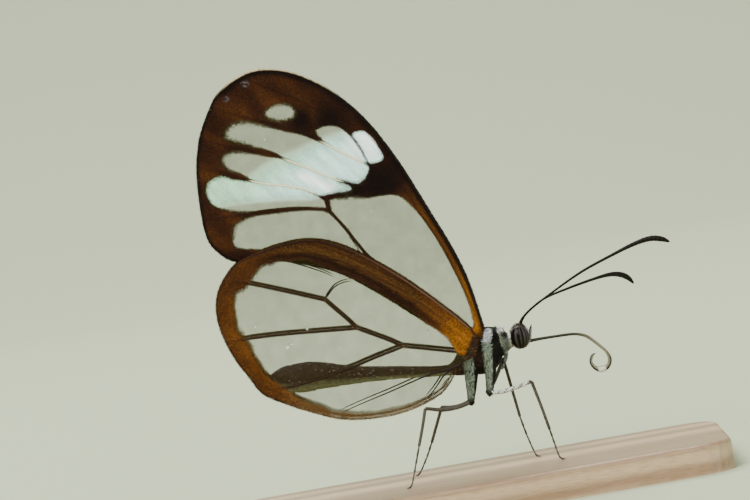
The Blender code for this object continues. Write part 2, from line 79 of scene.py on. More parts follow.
class Finish:
    """A material with one Principled shader, and the nodes that vary its colour, dullness and relief."""

    def __init__(self, name, **fixed):
        self.material = bpy.data.materials.new(name)
        self.material.use_nodes = True
        self.tree = self.material.node_tree
        self.shader = self.tree.nodes["Principled BSDF"]
        for socket, value in fixed.items():
            self.shader.inputs[socket.replace("_", " ")].default_value = value

    def node(self, kind, settings, inputs, output=0):
        """Adds a node of this kind: its settings are set first, then its sockets' values or links."""
        node = self.tree.nodes.new(kind)
        for setting, value in settings.items():
            setattr(node, setting, value)
        for socket, value in inputs.items():
            if isinstance(value, Wire):
                self.tree.links.new(value.socket, node.inputs[socket])
            elif isinstance(value, tuple) and len(node.inputs[socket].default_value) == 4:
                node.inputs[socket].default_value = (*value[:3], 1.0)
            else:
                node.inputs[socket].default_value = value
        return Wire(self, node.outputs[output])

    def maths(self, operation, *values):
        """One Math node, whose values are numbers or wires."""
        return self.node("ShaderNodeMath", {"operation": operation}, dict(enumerate(values)))

    def value(self, name):
        """A value that the mesh holds at each of its corners."""
        return self.node("ShaderNodeAttribute", {"attribute_name": name}, {}, output=2)

    def held(self, name):
        """A colour that the mesh holds at each of its corners."""
        return self.node("ShaderNodeAttribute", {"attribute_name": name}, {}, output=0)

    def places(self, stretch=(1, 1, 1)):
        """The piece's own coordinates in millimetres, each stretched by its own factor."""
        own = self.node("ShaderNodeTexCoord", {}, {}, output=3)
        return self.node("ShaderNodeMapping", {}, {"Vector": own, "Scale": tuple(s / MM for s in stretch)})

    def noise(self, where, scale, detail=2.0, roughness=0.5):
        """Smooth uneven values about 0.5, finer with the scale and busier with the detail."""
        sockets = {"Vector": where, "Scale": scale, "Detail": detail, "Roughness": roughness}
        return self.node("ShaderNodeTexNoise", {}, sockets)

    def cells(self, where, scale):
        """A different value for each small cell: the odd shades of single scales."""
        kind = {"feature": "F1"}
        colour = self.node("ShaderNodeTexVoronoi", kind, {"Vector": where, "Scale": scale}, output=1)
        return self.node("ShaderNodeSeparateColor", {}, {"Color": colour})

    def rise(self, value, low, high):
        """0 below low and 1 above high, with a soft step between them."""
        step = {"interpolation_type": "SMOOTHSTEP"}
        return self.node("ShaderNodeMapRange", step, {"Value": value, "From Min": low, "From Max": high})

    def mix(self, share, first, second):
        """From the first colour to the second as the share goes from 0 to 1."""
        return self.node("ShaderNodeMix", {"data_type": "RGBA"}, {0: share, 6: first, 7: second}, output=2)

    def shaded(self, colour, amount):
        """A colour made darker or lighter by a value about 1."""
        kind = {"data_type": "RGBA", "blend_type": "MULTIPLY"}
        grey = self.node("ShaderNodeCombineColor", {}, {0: amount, 1: amount, 2: amount})
        return self.node("ShaderNodeMix", kind, {0: 1.0, 6: colour, 7: grey}, output=2)

    def relief(self, height, depth, strength):
        """Raises the surface by a height from 0 to 1, as deep as the depth in millimetres."""
        sockets = {"Height": height, "Distance": depth * MM, "Strength": strength}
        self.wear(Normal=self.node("ShaderNodeBump", {}, sockets))

    def wear(self, **wires):
        """Links wires to the shader's sockets, each named with _ for its spaces."""
        for socket, wire in wires.items():
            self.tree.links.new(wire.socket, self.shader.inputs[socket.replace("_", " ")])

    def marked(self, uneven, shade, dull):
        """The mesh's own markings, shaded and dulled unevenly: each from its first value up by its second."""
        self.wear(Base_Color=self.shaded(self.held("marking"), shade[0] + shade[1] * uneven))
        self.wear(Roughness=dull[0] + dull[1] * uneven)


WOOD_PALE, WOOD_DEEP = (0.50, 0.35, 0.21), (0.25, 0.145, 0.075)
TO_HEART_OF_TRUNK, RING_PITCH, PORE_DEPTH = (0.0, 7.0, 26.0), 0.16, 0.02
wood = Finish("oiled_wood", Coat_Weight=0.15, Coat_Roughness=0.3)
lengthwise = wood.places((0.03, 1.0, 1.0))
heart = wood.node("ShaderNodeMapping", {}, {"Vector": lengthwise, "Location": TO_HEART_OF_TRUNK})
rings = wood.node(
    "ShaderNodeTexWave",
    {"wave_type": "RINGS", "rings_direction": "X"},
    {"Vector": heart, "Scale": RING_PITCH, "Distortion": 2.2, "Detail": 2.0, "Detail Scale": 0.35},
    output=1,
)
grain = wood.noise(wood.places((0.12, 2.6, 2.6)), 1.0, 5.0, 0.62)
pores = wood.noise(wood.places((0.9, 16.0, 16.0)), 1.0, 2.0)
streaks = wood.rise(rings * 0.55 + grain * 0.7, 0.25, 1.1)
colour = wood.mix(streaks, WOOD_PALE, WOOD_DEEP)
wood.wear(Base_Color=wood.shaded(colour, 0.86 + 0.28 * wood.rise(pores, 0.3, 0.6)))
wood.wear(Roughness=0.36 + 0.16 * grain)
wood.relief(grain * 0.4 + wood.rise(pores, 0.3, 0.5) * 0.6, PORE_DEPTH, 0.5)
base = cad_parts["stand_base"]
base.data.materials.clear()
base.data.materials.append(wood.material)


# The body: abdomen, thorax, collar and head capsule as one skin, with the shoulder flaps, the big upper legs
# and the small folded front legs grown out of it. Dark cuticle, barred with pale scales down its sides.

RIGHT, LEFT = -1, 1
SIDE_NAMES = {RIGHT: "right", LEFT: "left"}
FOOT_GAP, THORAX_ABOVE_FEET, THORAX_FORWARD = 0.25, 9.3, 1.9
base_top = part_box("stand_base")[1][2] / MM
THORAX_AT = np.array((THORAX_FORWARD, 0, base_top + FOOT_GAP + THORAX_ABOVE_FEET))

# Along the body: place along it, middle height, half height and half width
BODY_PROFILE = [
    (-17.10, 0.71, 0.04, 0.04),
    (-16.86, 0.66, 0.38, 0.32),
    (-16.00, 0.50, 0.93, 0.78),
    (-14.80, 0.38, 1.19, 0.99),
    (-13.20, 0.32, 1.13, 0.94),
    (-11.40, 0.05, 0.88, 0.73),
    (-9.40, -0.24, 0.65, 0.55),
    (-6.70, -0.58, 0.51, 0.44),
    (-4.20, -0.94, 0.43, 0.39),
    (-2.90, -1.06, 0.42, 0.41),
    (-2.36, -0.98, 0.54, 0.50),
    (-2.00, -0.80, 0.78, 0.66),
    (-1.50, -0.44, 1.16, 0.92),
    (-0.90, -0.18, 1.52, 1.17),
    (-0.20, -0.08, 1.74, 1.32),
    (0.50, 0.00, 1.77, 1.34),
    (1.05, 0.12, 1.60, 1.22),
    (1.45, 0.32, 1.30, 1.00),
    (1.75, 0.46, 1.04, 0.80),
    (1.96, 0.46, 0.98, 0.74),
    (2.10, 0.42, 0.84, 0.64),
    (2.24, 0.38, 0.72, 0.50),
    (2.45, 0.42, 0.62, 0.42),
    (2.64, 0.52, 0.68, 0.42),
    (2.90, 0.58, 0.85, 0.45),
    (3.24, 0.60, 0.92, 0.47),
    (3.60, 0.60, 0.84, 0.44),
    (3.86, 0.58, 0.54, 0.34),
    (3.95, 0.56, 0.10, 0.08),
]
ABDOMEN_ENDS, ABDOMEN_RINGS, RING_STEP = (-17.2, -2.3), 8, 0.05
# Upper legs, each a line of places with a radius
COXA_LINES = [
    [
        (0.72, 0.62, 0.20, 0.34), (0.62, 0.74, -0.80, 0.46),
        (0.42, 0.80, -2.00, 0.38), (0.18, 0.82, -3.10, 0.25),
    ],
    [
        (-0.72, 0.60, 0.10, 0.40), (-0.90, 0.68, -0.90, 0.50),
        (-1.16, 0.76, -2.20, 0.44), (-1.42, 0.80, -3.60, 0.26),
    ],
]
TROCHANTERS = [(0.13, 0.83, -3.30, 0.25), (-1.46, 0.82, -3.76, 0.26)]
FORELEG_LINE = [
    (1.98, 0.34, 0.20, 0.12), (1.98, 0.42, -0.40, 0.13), (1.78, 0.45, -1.00, 0.12), (1.48, 0.44, -1.62, 0.05),
]
EYE_AT, EYE_SIZE = (3.27, 0.60, 0.58), (0.76, 0.62, 0.95)
ORBIT_AT, ORBIT_SIZE = (3.25, 0.40, 0.58), (0.87, 0.26, 0.98)
TEGULA_AT, TEGULA_SIZE = (0.86, 1.08, 1.22), (0.40, 0.26, 0.52)
LOFT_ROWS, LOFT_SIDES, CURVE_STEPS = 420, 72, 24
SKIN_CELL, SKIN_SMOOTHING = 0.052, 4


def clamp(value):
    """The value kept between 0 and 1."""
    return np.clip(value, 0, 1)


def smooth_line(points, count, closed=False, beyond=None):
    """Places evenly spaced along a Catmull-Rom curve through the points, whatever their dimension. It ends
    straight, or on its way to the point beyond."""
    points = np.array(points, float)
    if closed:
        padded = np.vstack([points[-1], points, points[:2]])
    else:
        beyond = 2 * points[-1] - points[-2] if beyond is None else beyond
        padded = np.vstack([2 * points[0] - points[1], points, beyond])
    a, b, c, d = (padded[i : len(padded) - 3 + i, None] for i in range(4))
    step = np.linspace(0, 1, CURVE_STEPS + 1)[:-1, None]
    bend, twist = 2 * a - 5 * b + 4 * c - d, 3 * b - a - 3 * c + d
    fine = (2 * b + (c - a) * step + bend * step**2 + twist * step**3) / 2
    fine = np.vstack([fine.reshape(-1, points.shape[1]), padded[-2]])
    run = np.concatenate([[0], np.cumsum(np.linalg.norm(np.diff(fine[:, :3], axis=0), axis=1))])
    stops = np.linspace(0, run[-1], count + 1 if closed else count)
    found = np.column_stack([np.interp(stops, run, column) for column in fine.T])
    return found[:-1] if closed else found


def unit(vectors):
    """Each vector divided by its own length."""
    return vectors / np.maximum(np.linalg.norm(vectors, axis=-1, keepdims=True), 1e-12)


def grid_faces(rows, columns, wrap=True):
    """Two triangles for each cell of a grid of rows by columns, whose last column may join its first."""
    last = columns if wrap else columns - 1
    row, column = np.meshgrid(np.arange(rows - 1), np.arange(last), indexing="ij")
    a, b = row * columns + column, row * columns + (column + 1) % columns
    c, d = b + columns, a + columns
    return np.stack([a, b, c, a, c, d], -1).reshape(-1, 3)


def closed_tube(rings):
    """The faces of a stack of rings, with a fan over the middle of the first and of the last."""
    rows, columns = rings.shape[:2]
    places = np.vstack([rings.reshape(-1, 3), rings[0].mean(0), rings[-1].mean(0)])
    turn = np.arange(columns)
    beside = (turn + 1) % columns
    first = np.stack([np.full(columns, rows * columns), beside, turn], -1)
    end = (rows - 1) * columns
    last = np.stack([np.full(columns, rows * columns + 1), end + turn, end + beside], -1)
    return places, np.vstack([grid_faces(rows, columns), first, last])


def sweep(line, sides, across=(0, 1, 0)):
    """A tube along a line of places with radii: at each place a ring of that radius stands square to it."""
    places, radius = line[:, :3], line[:, 3, None, None]
    way = unit(np.gradient(places, axis=0))
    one = unit(np.array(across, float) - (way @ np.array(across, float))[:, None] * way)
    two = np.cross(way, one)
    turn = np.linspace(0, 2 * math.pi, sides, endpoint=False)[None, :, None]
    ring = np.cos(turn) * one[:, None] + np.sin(turn) * two[:, None]
    return closed_tube(places[:, None] + radius * ring)


def ball(centre, size, rings=16, sides=24):
    """An egg shape: rings round the y axis, whose radius follows a circle from pole to pole."""
    lift = np.linspace(0.04, math.pi - 0.04, rings)[:, None]
    turn = np.linspace(0, 2 * math.pi, sides, endpoint=False)[None]
    shape = np.stack([np.sin(lift) * np.cos(turn), np.cos(lift) + 0 * turn, np.sin(lift) * np.sin(turn)], -1)
    return closed_tube(np.array(centre) + shape * np.array(size))


def joined(parts):
    """Several shapes, each its places and its faces, as one."""
    starts = np.cumsum([0] + [len(places) for places, _ in parts])
    faces = np.vstack([faces + start for (_, faces), start in zip(parts, starts)])
    return np.vstack([places for places, _ in parts]), faces


def outward(places, faces):
    """The faces of a closed shape turned the way that makes its volume positive."""
    a, b, c = (places[faces[:, i]] for i in range(3))
    volume = np.einsum("ij,ij->i", a - places.mean(0), np.cross(b, c)).sum()
    return faces[:, ::-1] if volume < 0 else faces


def make_mesh(name, places, faces):
    """A smooth mesh from an array of places and an array of triangles, both put in as whole arrays."""
    mesh = bpy.data.meshes.new(name)
    mesh.vertices.add(len(places))
    mesh.vertices.foreach_set("co", places.astype(np.float32).ravel())
    mesh.loops.add(faces.size)
    mesh.loops.foreach_set("vertex_index", faces.astype(np.int32).ravel())
    mesh.polygons.add(len(faces))
    mesh.polygons.foreach_set("loop_start", np.arange(0, faces.size, 3, dtype=np.int32))
    mesh.update(calc_edges=True)
    mesh.shade_smooth()
    return mesh


def add_piece(name, places, faces, finish, slot, replaced=(), values=None, colours=None, map_at=None):
    """A piece of the butterfly in the frame's metres, with the values and colours that its finish reads."""
    mesh = make_mesh(name, (places + THORAX_AT) * MM, outward(places, faces))
    for key, numbers in (values or {}).items():
        mesh.attributes.new(key, "FLOAT", "POINT").data.foreach_set("value", numbers.astype(np.float32))
    for key, shades in (colours or {}).items():
        four = np.column_stack([shades, np.ones(len(shades))]).astype(np.float32)
        mesh.attributes.new(key, "FLOAT_COLOR", "POINT").data.foreach_set("color", four.ravel())
    if map_at is not None:
        corner = np.empty(len(mesh.loops), np.int32)
        mesh.loops.foreach_get("vertex_index", corner)
        uv = mesh.uv_layers.new(name="OFBake")
        uv.uv.foreach_set("vector", map_at[corner].astype(np.float32).ravel())
    mesh.materials.append(finish.material)
    piece = bpy.data.objects.new(name, mesh)
    bpy.context.scene.collection.objects.link(piece)
    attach(piece, "root")
    if replaced:
        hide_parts(*replaced)


def body_loft():
    """Ellipses across the body at even steps along its profile; each abdomen ring steps in at its rear."""
    x, z, up, side = smooth_line(BODY_PROFILE, LOFT_ROWS).T
    phase = (x - ABDOMEN_ENDS[0]) / (ABDOMEN_ENDS[1] - ABDOMEN_ENDS[0]) * ABDOMEN_RINGS
    inside = clamp((ABDOMEN_ENDS[1] - 0.4 - x) / 0.6) * clamp((x - ABDOMEN_ENDS[0]) / 0.6)
    step = 1 - RING_STEP * inside * (1 - (phase % 1) ** 0.6)
    turn = np.linspace(0, 2 * math.pi, LOFT_SIDES, endpoint=False)[None]
    across = (side * step)[:, None] * np.cos(turn)
    height = z[:, None] + (up * step)[:, None] * np.sin(turn)
    return closed_tube(np.stack([x[:, None] + 0 * turn, across, height], -1))


def mirrored(line):
    """The line on the right side and on the left."""
    return [[(x, side * y, z, r) for x, y, z, r in line] for side in (RIGHT, LEFT)]


def body_skin():
    """All the body's shapes merged on a fine lattice, then smoothed a little so that they flow together."""
    parts = [body_loft()]
    for line in COXA_LINES + [FORELEG_LINE]:
        parts += [sweep(smooth_line(half, 60), 28) for half in mirrored(line)]
    for x, y, z, r in TROCHANTERS:
        parts += [ball((x, side * y, z), (r, r, r * 1.1)) for side in (RIGHT, LEFT)]
    for (x, y, z), size in ((TEGULA_AT, TEGULA_SIZE), (ORBIT_AT, ORBIT_SIZE)):
        parts += [ball((x, side * y, z), size, 24, 40) for side in (RIGHT, LEFT)]
    mesh = make_mesh("skin", *joined([(places, outward(places, faces)) for places, faces in parts]))
    skin = bpy.data.objects.new("skin", mesh)
    bpy.context.scene.collection.objects.link(skin)
    remesh = skin.modifiers.new("merge", "REMESH")
    remesh.mode, remesh.voxel_size = "VOXEL", SKIN_CELL
    smooth = skin.modifiers.new("flow", "SMOOTH")
    smooth.factor, smooth.iterations = 0.5, SKIN_SMOOTHING
    depsgraph = bpy.context.evaluated_depsgraph_get()
    merged = skin.evaluated_get(depsgraph).to_mesh()
    merged.calc_loop_triangles()
    places = np.empty(len(merged.vertices) * 3, np.float32)
    merged.vertices.foreach_get("co", places)
    faces = np.empty(len(merged.loop_triangles) * 3, np.int32)
    merged.loop_triangles.foreach_get("vertices", faces)
    bpy.data.objects.remove(skin)
    return places.reshape(-1, 3).astype(float), faces.reshape(-1, 3)


def within(value, middle, half, soft):
    """1 near the middle, 0 past the half width, with a soft edge."""
    return clamp((half - np.abs(value - middle)) / soft + 0.5)


def layered(base, *layers):
    """Colours laid over one another, each by its own share at each place."""
    shade = np.broadcast_to(np.array(base, float), (len(layers[0][0]), 3)).copy()
    for share, colour in layers:
        shade += share[:, None] * (np.array(colour) - shade)
    return shade


CUTICLE, UMBER, MAROON = (0.006, 0.004, 0.003), (0.046, 0.028, 0.016), (0.024, 0.007, 0.010)
SAGE, FROST, OLIVE_PALE = (0.22, 0.27, 0.205), (0.60, 0.63, 0.65), (0.22, 0.235, 0.12)
CREAM, PEWTER = (0.44, 0.43, 0.34), (0.20, 0.20, 0.19)
BISTRE, SNOW = (0.036, 0.018, 0.011), (0.92, 0.90, 0.87)
GREY_TUFTS, TUFT_RADIUS = [(-0.39, 0.67), (-0.64, 0.03), (-0.28, 1.07)], 0.22


def body_colours(places):
    """The body's markings by place: dark, with two pale bars down each side and a pale belly and collar."""
    x, y, z = places.T
    front_bar = np.interp(z, (-3.4, -0.8, 1.8), (0.14, 0.43, 0.84))
    front_half = np.interp(z, (-3.4, -1.0, 1.8), (0.20, 0.34, 0.38))
    rear_bar = np.interp(z, (-3.8, -1.7, 0.0), (-1.44, -1.26, -1.06))
    rear_half = np.interp(z, (-3.8, -1.7, 0.0), (0.22, 0.40, 0.42))
    on_side = clamp((np.abs(y) - 0.35) / 0.3)
    bar_one = within(x, front_bar, front_half, 0.10) * clamp((z + 3.3) / 0.5) * on_side
    bar_two = within(x, rear_bar, rear_half, 0.10) * clamp((0.05 - z) / 0.3) * on_side
    bar_two *= clamp((z + 3.7) / 0.5)
    between = within(x, -0.35, 0.50, 0.25) * within(z, 0.2, 1.2, 0.8)
    tufts = [1.3 - np.hypot(x - a, z - b) / TUFT_RADIUS for a, b in GREY_TUFTS]
    behind = clamp((-1.4 - x) / 0.3) * clamp((x + 2.6) / 0.3)
    on_collar = within(x, 2.15, 0.32, 0.12) * clamp((z + 0.6) / 0.3)
    seam = within(x, 1.80, 0.06, 0.05) * within(z, 0.75, 0.55, 0.15)
    patch = clamp(1.5 - np.hypot(x - 2.14, z - 0.93) / 0.20)
    crest = within(x, 1.90, 0.24, 0.10) * clamp((z - 1.10) / 0.2)
    on_abdomen = clamp((-2.3 - x) / 0.4)
    middle, half = (np.interp(x, *np.array(BODY_PROFILE)[:, [0, i]].T) for i in (1, 2))
    belly = on_abdomen * clamp((middle - 0.22 * half - z) / (0.50 * half))
    leg_x, _, leg_z, _ = np.array(FORELEG_LINE[::-1]).T
    foreleg = within(x, np.interp(z, leg_z, leg_x) + 0.04, 0.12, 0.05) * within(z, -0.75, 0.75, 0.2)
    face = clamp((x - 3.80) / 0.10) * clamp((z - 0.35) / 0.25)
    cheek = within(x, 2.47, 0.10, 0.05) * within(z, 0.55, 0.80, 0.2)
    from_eye = np.hypot((x - EYE_AT[0]) / EYE_SIZE[0], (z - EYE_AT[2]) / EYE_SIZE[2])
    socket = within(from_eye, 1.10, 0.09, 0.05) * (x > 2.6)
    crown = clamp((x - 2.55) / 0.15) * clamp((z - 1.15) / 0.15)
    back_line = within(np.abs(y), 0.42, 0.09, 0.08) * clamp((z - 1.2) / 0.3) * within(x, 0.1, 1.2, 0.3)
    return layered(
        CUTICLE,
        (between, BISTRE),
        (0.8 * between * clamp(np.max(tufts, axis=0)), PEWTER),
        (behind, UMBER),
        (on_abdomen, BISTRE),
        (belly, OLIVE_PALE),
        (0.7 * on_collar, SAGE),
        (0.7 * foreleg, SAGE),
        (patch, MAROON),
        (seam, CREAM),
        (0.6 * back_line, SAGE),
        (bar_two, SAGE),
        (bar_one, SAGE),
        (bar_one * clamp((z - 0.55) / 0.3), FROST),
        (crest, SNOW),
        (0.6 * crown, UMBER),
        (face, FROST),
        (cheek, CREAM),
        (cheek * clamp((z - 0.55) / 0.25), SNOW),
        (0.8 * socket * clamp((np.abs(y) - 0.25) / 0.1), CREAM),
    )


def body_map(places):
    """The skin unrolled: its length runs along the map and its angle round the body up it."""
    x, y, z = places.T
    middle = np.interp(x, *np.array(BODY_PROFILE)[:, [0, 1]].T)
    low = z < -2.0
    turn = np.arctan2(np.where(low, x + 0.5, z - middle), np.abs(y) + np.where(low, -0.7, 0.0))
    lift = (turn / math.pi + 1) / 2
    along = np.where(low, 0.80 + (z + 4.2) * 0.08, 0.02 + (x + 17.3) * 0.034)
    return np.column_stack([along, np.where(y < 0, 0.02, 0.52) + lift * 0.45])


cuticle = Finish("cuticle", Specular_IOR_Level=0.2)
mottle = cuticle.noise(cuticle.places(), 5.0, 3.0)
flecks = cuticle.cells(cuticle.places((1, 1, 0.55)), 14.0)
cuticle.wear(Base_Color=cuticle.shaded(cuticle.held("marking"), 0.55 + 0.5 * mottle + 0.55 * flecks))
cuticle.wear(Roughness=0.5 + 0.3 * mottle)
cuticle.relief(flecks, 0.03, 0.8)
skin_places, skin_faces = body_skin()
flesh = ["abdomen", "thorax", "prothorax", "head"]
flesh += [f"{node}_{side}" for node in ("coxa_mid", "coxa_hind", "foreleg") for side in SIDE_NAMES.values()]
add_piece(
    "body_skin",
    skin_places,
    skin_faces,
    cuticle,
    "body_scales",
    flesh,
    colours={"marking": body_colours(skin_places)},
)


# The body's coat: narrow overlapping scales and hairs that lie back along the abdomen and down the upper
# legs, longer on the collar and the crown. Each is a thin, closed leaf rooted in the skin.

COAT_SEED, COAT_COUNT = 11, 21000
# A leaf's count of points, how far along it is widest, and how deep its root sits
LEAF_POINTS, LEAF_WIDEST, LEAF_ROOT = 6, 0.55, 0.03
LEAF_SIDES = np.array(
    [(0, 2, 4), (2, 1, 4), (1, 3, 4), (3, 0, 4), (2, 0, 5), (1, 2, 5), (3, 1, 5), (0, 3, 5)]
)
LEAF_PATCH = 0.0015 * np.array([(-1, 0), (1, 0), (0, -1), (0, 1), (0.2, 0), (-0.2, 0)])


def leaves(roots, normals, way, length, width, lift, thick=0.014):
    """Closed leaves of six points: root, tip, the two widest points, and a point above and below them."""
    way = unit(way - np.einsum("ij,ij->i", way, normals)[:, None] * normals)
    across = np.cross(normals, way)
    rise = way * np.cos(lift)[:, None] + normals * np.sin(lift)[:, None]
    middle = roots + rise * length[:, None] * LEAF_WIDEST
    half, deep = across * width[:, None] / 2, normals * thick / 2
    start, tip = roots - rise * LEAF_ROOT, roots + rise * length[:, None]
    places = np.stack([start, tip, middle + half, middle - half, middle + deep, middle - deep], 1)
    faces = LEAF_SIDES[None] + LEAF_POINTS * np.arange(len(roots))[:, None, None]
    return places.reshape(-1, 3), faces.reshape(-1, 3)


def leaf_map(root_map):
    """Each leaf's small patch of the map, round the place of its root."""
    return (root_map[:, None] + LEAF_PATCH[None]).reshape(-1, 2)


def scattered(places, faces, weight, count, draw):
    """Random places on a surface, in proportion to area times weight, with their normals."""
    a, b, c = (places[faces[:, i]] for i in range(3))
    normal = np.cross(b - a, c - a)
    share = np.cumsum(np.linalg.norm(normal, axis=1) * weight((a + b + c) / 3))
    chosen = np.searchsorted(share, draw.random(count) * share[-1])
    one, two = np.sqrt(draw.random(count))[:, None], draw.random(count)[:, None]
    found = a[chosen] * (1 - one) + b[chosen] * one * (1 - two) + c[chosen] * one * two
    return found, unit(normal[chosen])


def coat_way(places):
    """The lie of the coat: back along the body, down the sides and legs, and up over the head."""
    x, _, z = places.T
    way = np.column_stack([-np.ones(len(x)), 0 * x, -0.15 + 0 * x])
    down = clamp((0.6 - z) / 1.2) * clamp((x + 2.2) / 0.4) * (x < 2.4)
    way = way * (1 - down[:, None]) + down[:, None] * np.array((-0.25, 0, -1.0))
    on_head = clamp((x - 2.6) / 0.2)[:, None]
    return way * (1 - on_head) + on_head * np.array((0.25, 0, 1.0))


def coat_thickness(places):
    """How closely the coat grows: closer on the thorax than behind it, closest on the collar and head."""
    x = places[:, 0]
    return 1.0 + 0.7 * within(x, 0.2, 2.4, 0.5) + 1.5 * (x > 1.6)


coat_draw = np.random.default_rng(COAT_SEED)
skin_out = outward(skin_places, skin_faces)
roots, normals = scattered(skin_places, skin_out, coat_thickness, COAT_COUNT, coat_draw)
along_body, _, height = roots.T
tufty = within(along_body, 1.88, 0.26, 0.12) * clamp((height - 0.9) / 0.4)
crown = clamp((along_body - 2.7) / 0.2) * clamp((height - 1.2) / 0.2)
jitter = coat_draw.normal(0, 0.16, (COAT_COUNT, 3))
below = within(along_body, -1.5, 0.8, 0.4) * clamp((-0.7 - height) / 0.3) * (height > -2.0)
on_thorax = within(along_body, 0, 2.2, 0.4)
length = 0.20 + 0.14 * tufty + 0.05 * crown - 0.08 * (along_body > 2.3) + 0.05 * on_thorax
length = (length + 0.12 * below) * (0.7 + 0.6 * coat_draw.random(COAT_COUNT))
width = 0.055 + 0.035 * coat_draw.random(COAT_COUNT)
lift = np.radians(9 + 30 * tufty + 34 * crown) * (0.6 + 0.8 * coat_draw.random(COAT_COUNT))
coat_places, coat_faces = leaves(roots, normals, coat_way(roots) + jitter, length, width, lift)
coat_shade = body_colours(roots) * (0.50 + 0.85 * coat_draw.random((COAT_COUNT, 1)))
coat_shade = np.where(coat_draw.random((COAT_COUNT, 1)) < 0.13, coat_shade * 0.2, coat_shade)
# Some four in a hundred leaves on the abdomen turn pewter grey: painted highlights of single scales
highlight_specks = (coat_draw.random(COAT_COUNT) < 0.04) * (along_body < -3.0)
coat_shade = np.where(highlight_specks[:, None], PEWTER, coat_shade)
coat = Finish("body_coat", Specular_IOR_Level=0.2)
coat.marked(coat.noise(coat.places(), 9.0), (0.75, 0.5), (0.42, 0.3))
add_piece(
    "body_coat",
    coat_places,
    coat_faces,
    coat,
    "body_scales",
    colours={"marking": np.repeat(coat_shade, LEAF_POINTS, axis=0)},
    map_at=leaf_map(body_map(roots)),
)


# The compound eyes: two big hard domes, grey-brown with upright dark stripes, pricked all over with fine
# facets. Each is set in the head's rim of pale scales and stands for its solid.

EYE_GREY, EYE_STRIPE, EYE_OLIVE = (0.046, 0.033, 0.031), (0.0012, 0.0007, 0.0006), (0.028, 0.029, 0.013)
EYE_STRIPES = [(-0.80, 0.21), (-0.20, 0.17), (0.24, 0.11), (0.62, 0.05)]

eye_finish = Finish("eye_facets", Specular_IOR_Level=0.10, Coat_Weight=0.03, Coat_Roughness=0.2)
facets = eye_finish.node(
    "ShaderNodeTexVoronoi",
    {"feature": "F1"},
    {"Vector": eye_finish.places(), "Scale": 26.0, "Randomness": 0.25},
)
cloud = eye_finish.noise(eye_finish.places(), 2.5, 3.0)
stripe = eye_finish.rise(eye_finish.value("stripe") + (cloud - 0.5) * 0.15, 0.30, 0.70)
colour = eye_finish.mix(eye_finish.value("low"), EYE_GREY, EYE_OLIVE)
colour = eye_finish.mix(stripe * 0.94, colour, EYE_STRIPE)
eye_finish.wear(Base_Color=eye_finish.shaded(colour, 0.8 + 0.4 * cloud))
eye_finish.wear(Roughness=0.24 + 0.16 * cloud)
eye_finish.relief(1 - eye_finish.rise(facets, 0.0, 0.7), 0.006, 0.7)
for side, name in SIDE_NAMES.items():
    x, y, z = EYE_AT
    places, faces = ball((x, side * y, z), EYE_SIZE, 60, 90)
    local = (places - np.array((x, side * y, z))) / np.array(EYE_SIZE)
    level = np.sqrt(np.maximum(1 - local[:, 2] ** 2, 0.02))
    meridian = local[:, 0] / level
    stripes = np.max([within(meridian, at, half, 0.09) for at, half in EYE_STRIPES], axis=0)
    add_piece(
        "eye_" + name + "_dome",
        places,
        faces,
        eye_finish,
        "eye_facets",
        ["eye_" + name],
        values={"stripe": stripes, "low": clamp(0.35 - 0.6 * local[:, 2])},
    )


# The palps: a pair of short, upturned feelers before the face, dark behind and pale in front. Each is a
# tapering rod with a spiky fur of scales that lie towards its point.

PALP_LINE = [
    (3.66, 0.27, 0.18, 0.08),
    (3.84, 0.31, 0.15, 0.10),
    (3.99, 0.36, 0.28, 0.115),
    (4.09, 0.40, 0.62, 0.11),
    (4.20, 0.43, 0.96, 0.075),
    (4.32, 0.45, 1.29, 0.02),
]
PALP_HAIRS, PALP_HAIR_SIZE, PALP_SEED = 420, (0.11, 0.030), 5
PALP_DARK, PALP_PALE = (0.010, 0.007, 0.006), (0.45, 0.45, 0.43)

palp_finish = Finish("palp_scales", Specular_IOR_Level=0.2)
palp_finish.marked(palp_finish.noise(palp_finish.places(), 12.0), (0.6, 0.8), (0.5, 0.3))
palp_draw = np.random.default_rng(PALP_SEED)


def evenly(places):
    """The same weight everywhere."""
    return np.ones(len(places))


for side, name in SIDE_NAMES.items():
    line = smooth_line([(x, side * y, z, r) for x, y, z, r in PALP_LINE], 60)
    places, faces = sweep(line, 16)
    faces = outward(places, faces)
    roots, normals = scattered(places, faces, evenly, PALP_HAIRS, palp_draw)
    nearest = np.abs(roots[:, None, 2] - line[None, :, 2]).argmin(1)
    way = unit(np.gradient(line[:, :3], axis=0))[nearest] + palp_draw.normal(0, 0.12, (PALP_HAIRS, 3))
    size = 0.8 + 0.5 * palp_draw.random(PALP_HAIRS)
    long, wide = (measure * size for measure in PALP_HAIR_SIZE)
    hairs = leaves(roots, normals, way, long, wide, np.radians(12 * size))
    before_line = places[:, 0] - np.interp(places[:, 2], line[20:, 2], line[20:, 0])
    rod_shade, hair_shade = (
        layered(PALP_DARK, (0.8 * clamp(4 * ahead), PALP_PALE)) for ahead in (6 * before_line, normals[:, 0])
    )
    add_piece(
        "palp_" + name + "_scaled",
        *joined([(places, faces), hairs]),
        palp_finish,
        "body_scales",
        ["palp_" + name],
        colours={"marking": np.vstack([rod_shade, np.repeat(hair_shade, LEAF_POINTS, axis=0)])},
    )


# The antennae: fine, dark, ringed threads that thicken gently to a club, bent down at the very end. Each is
# one tube that springs from the crown, pinched in a little at every joint.

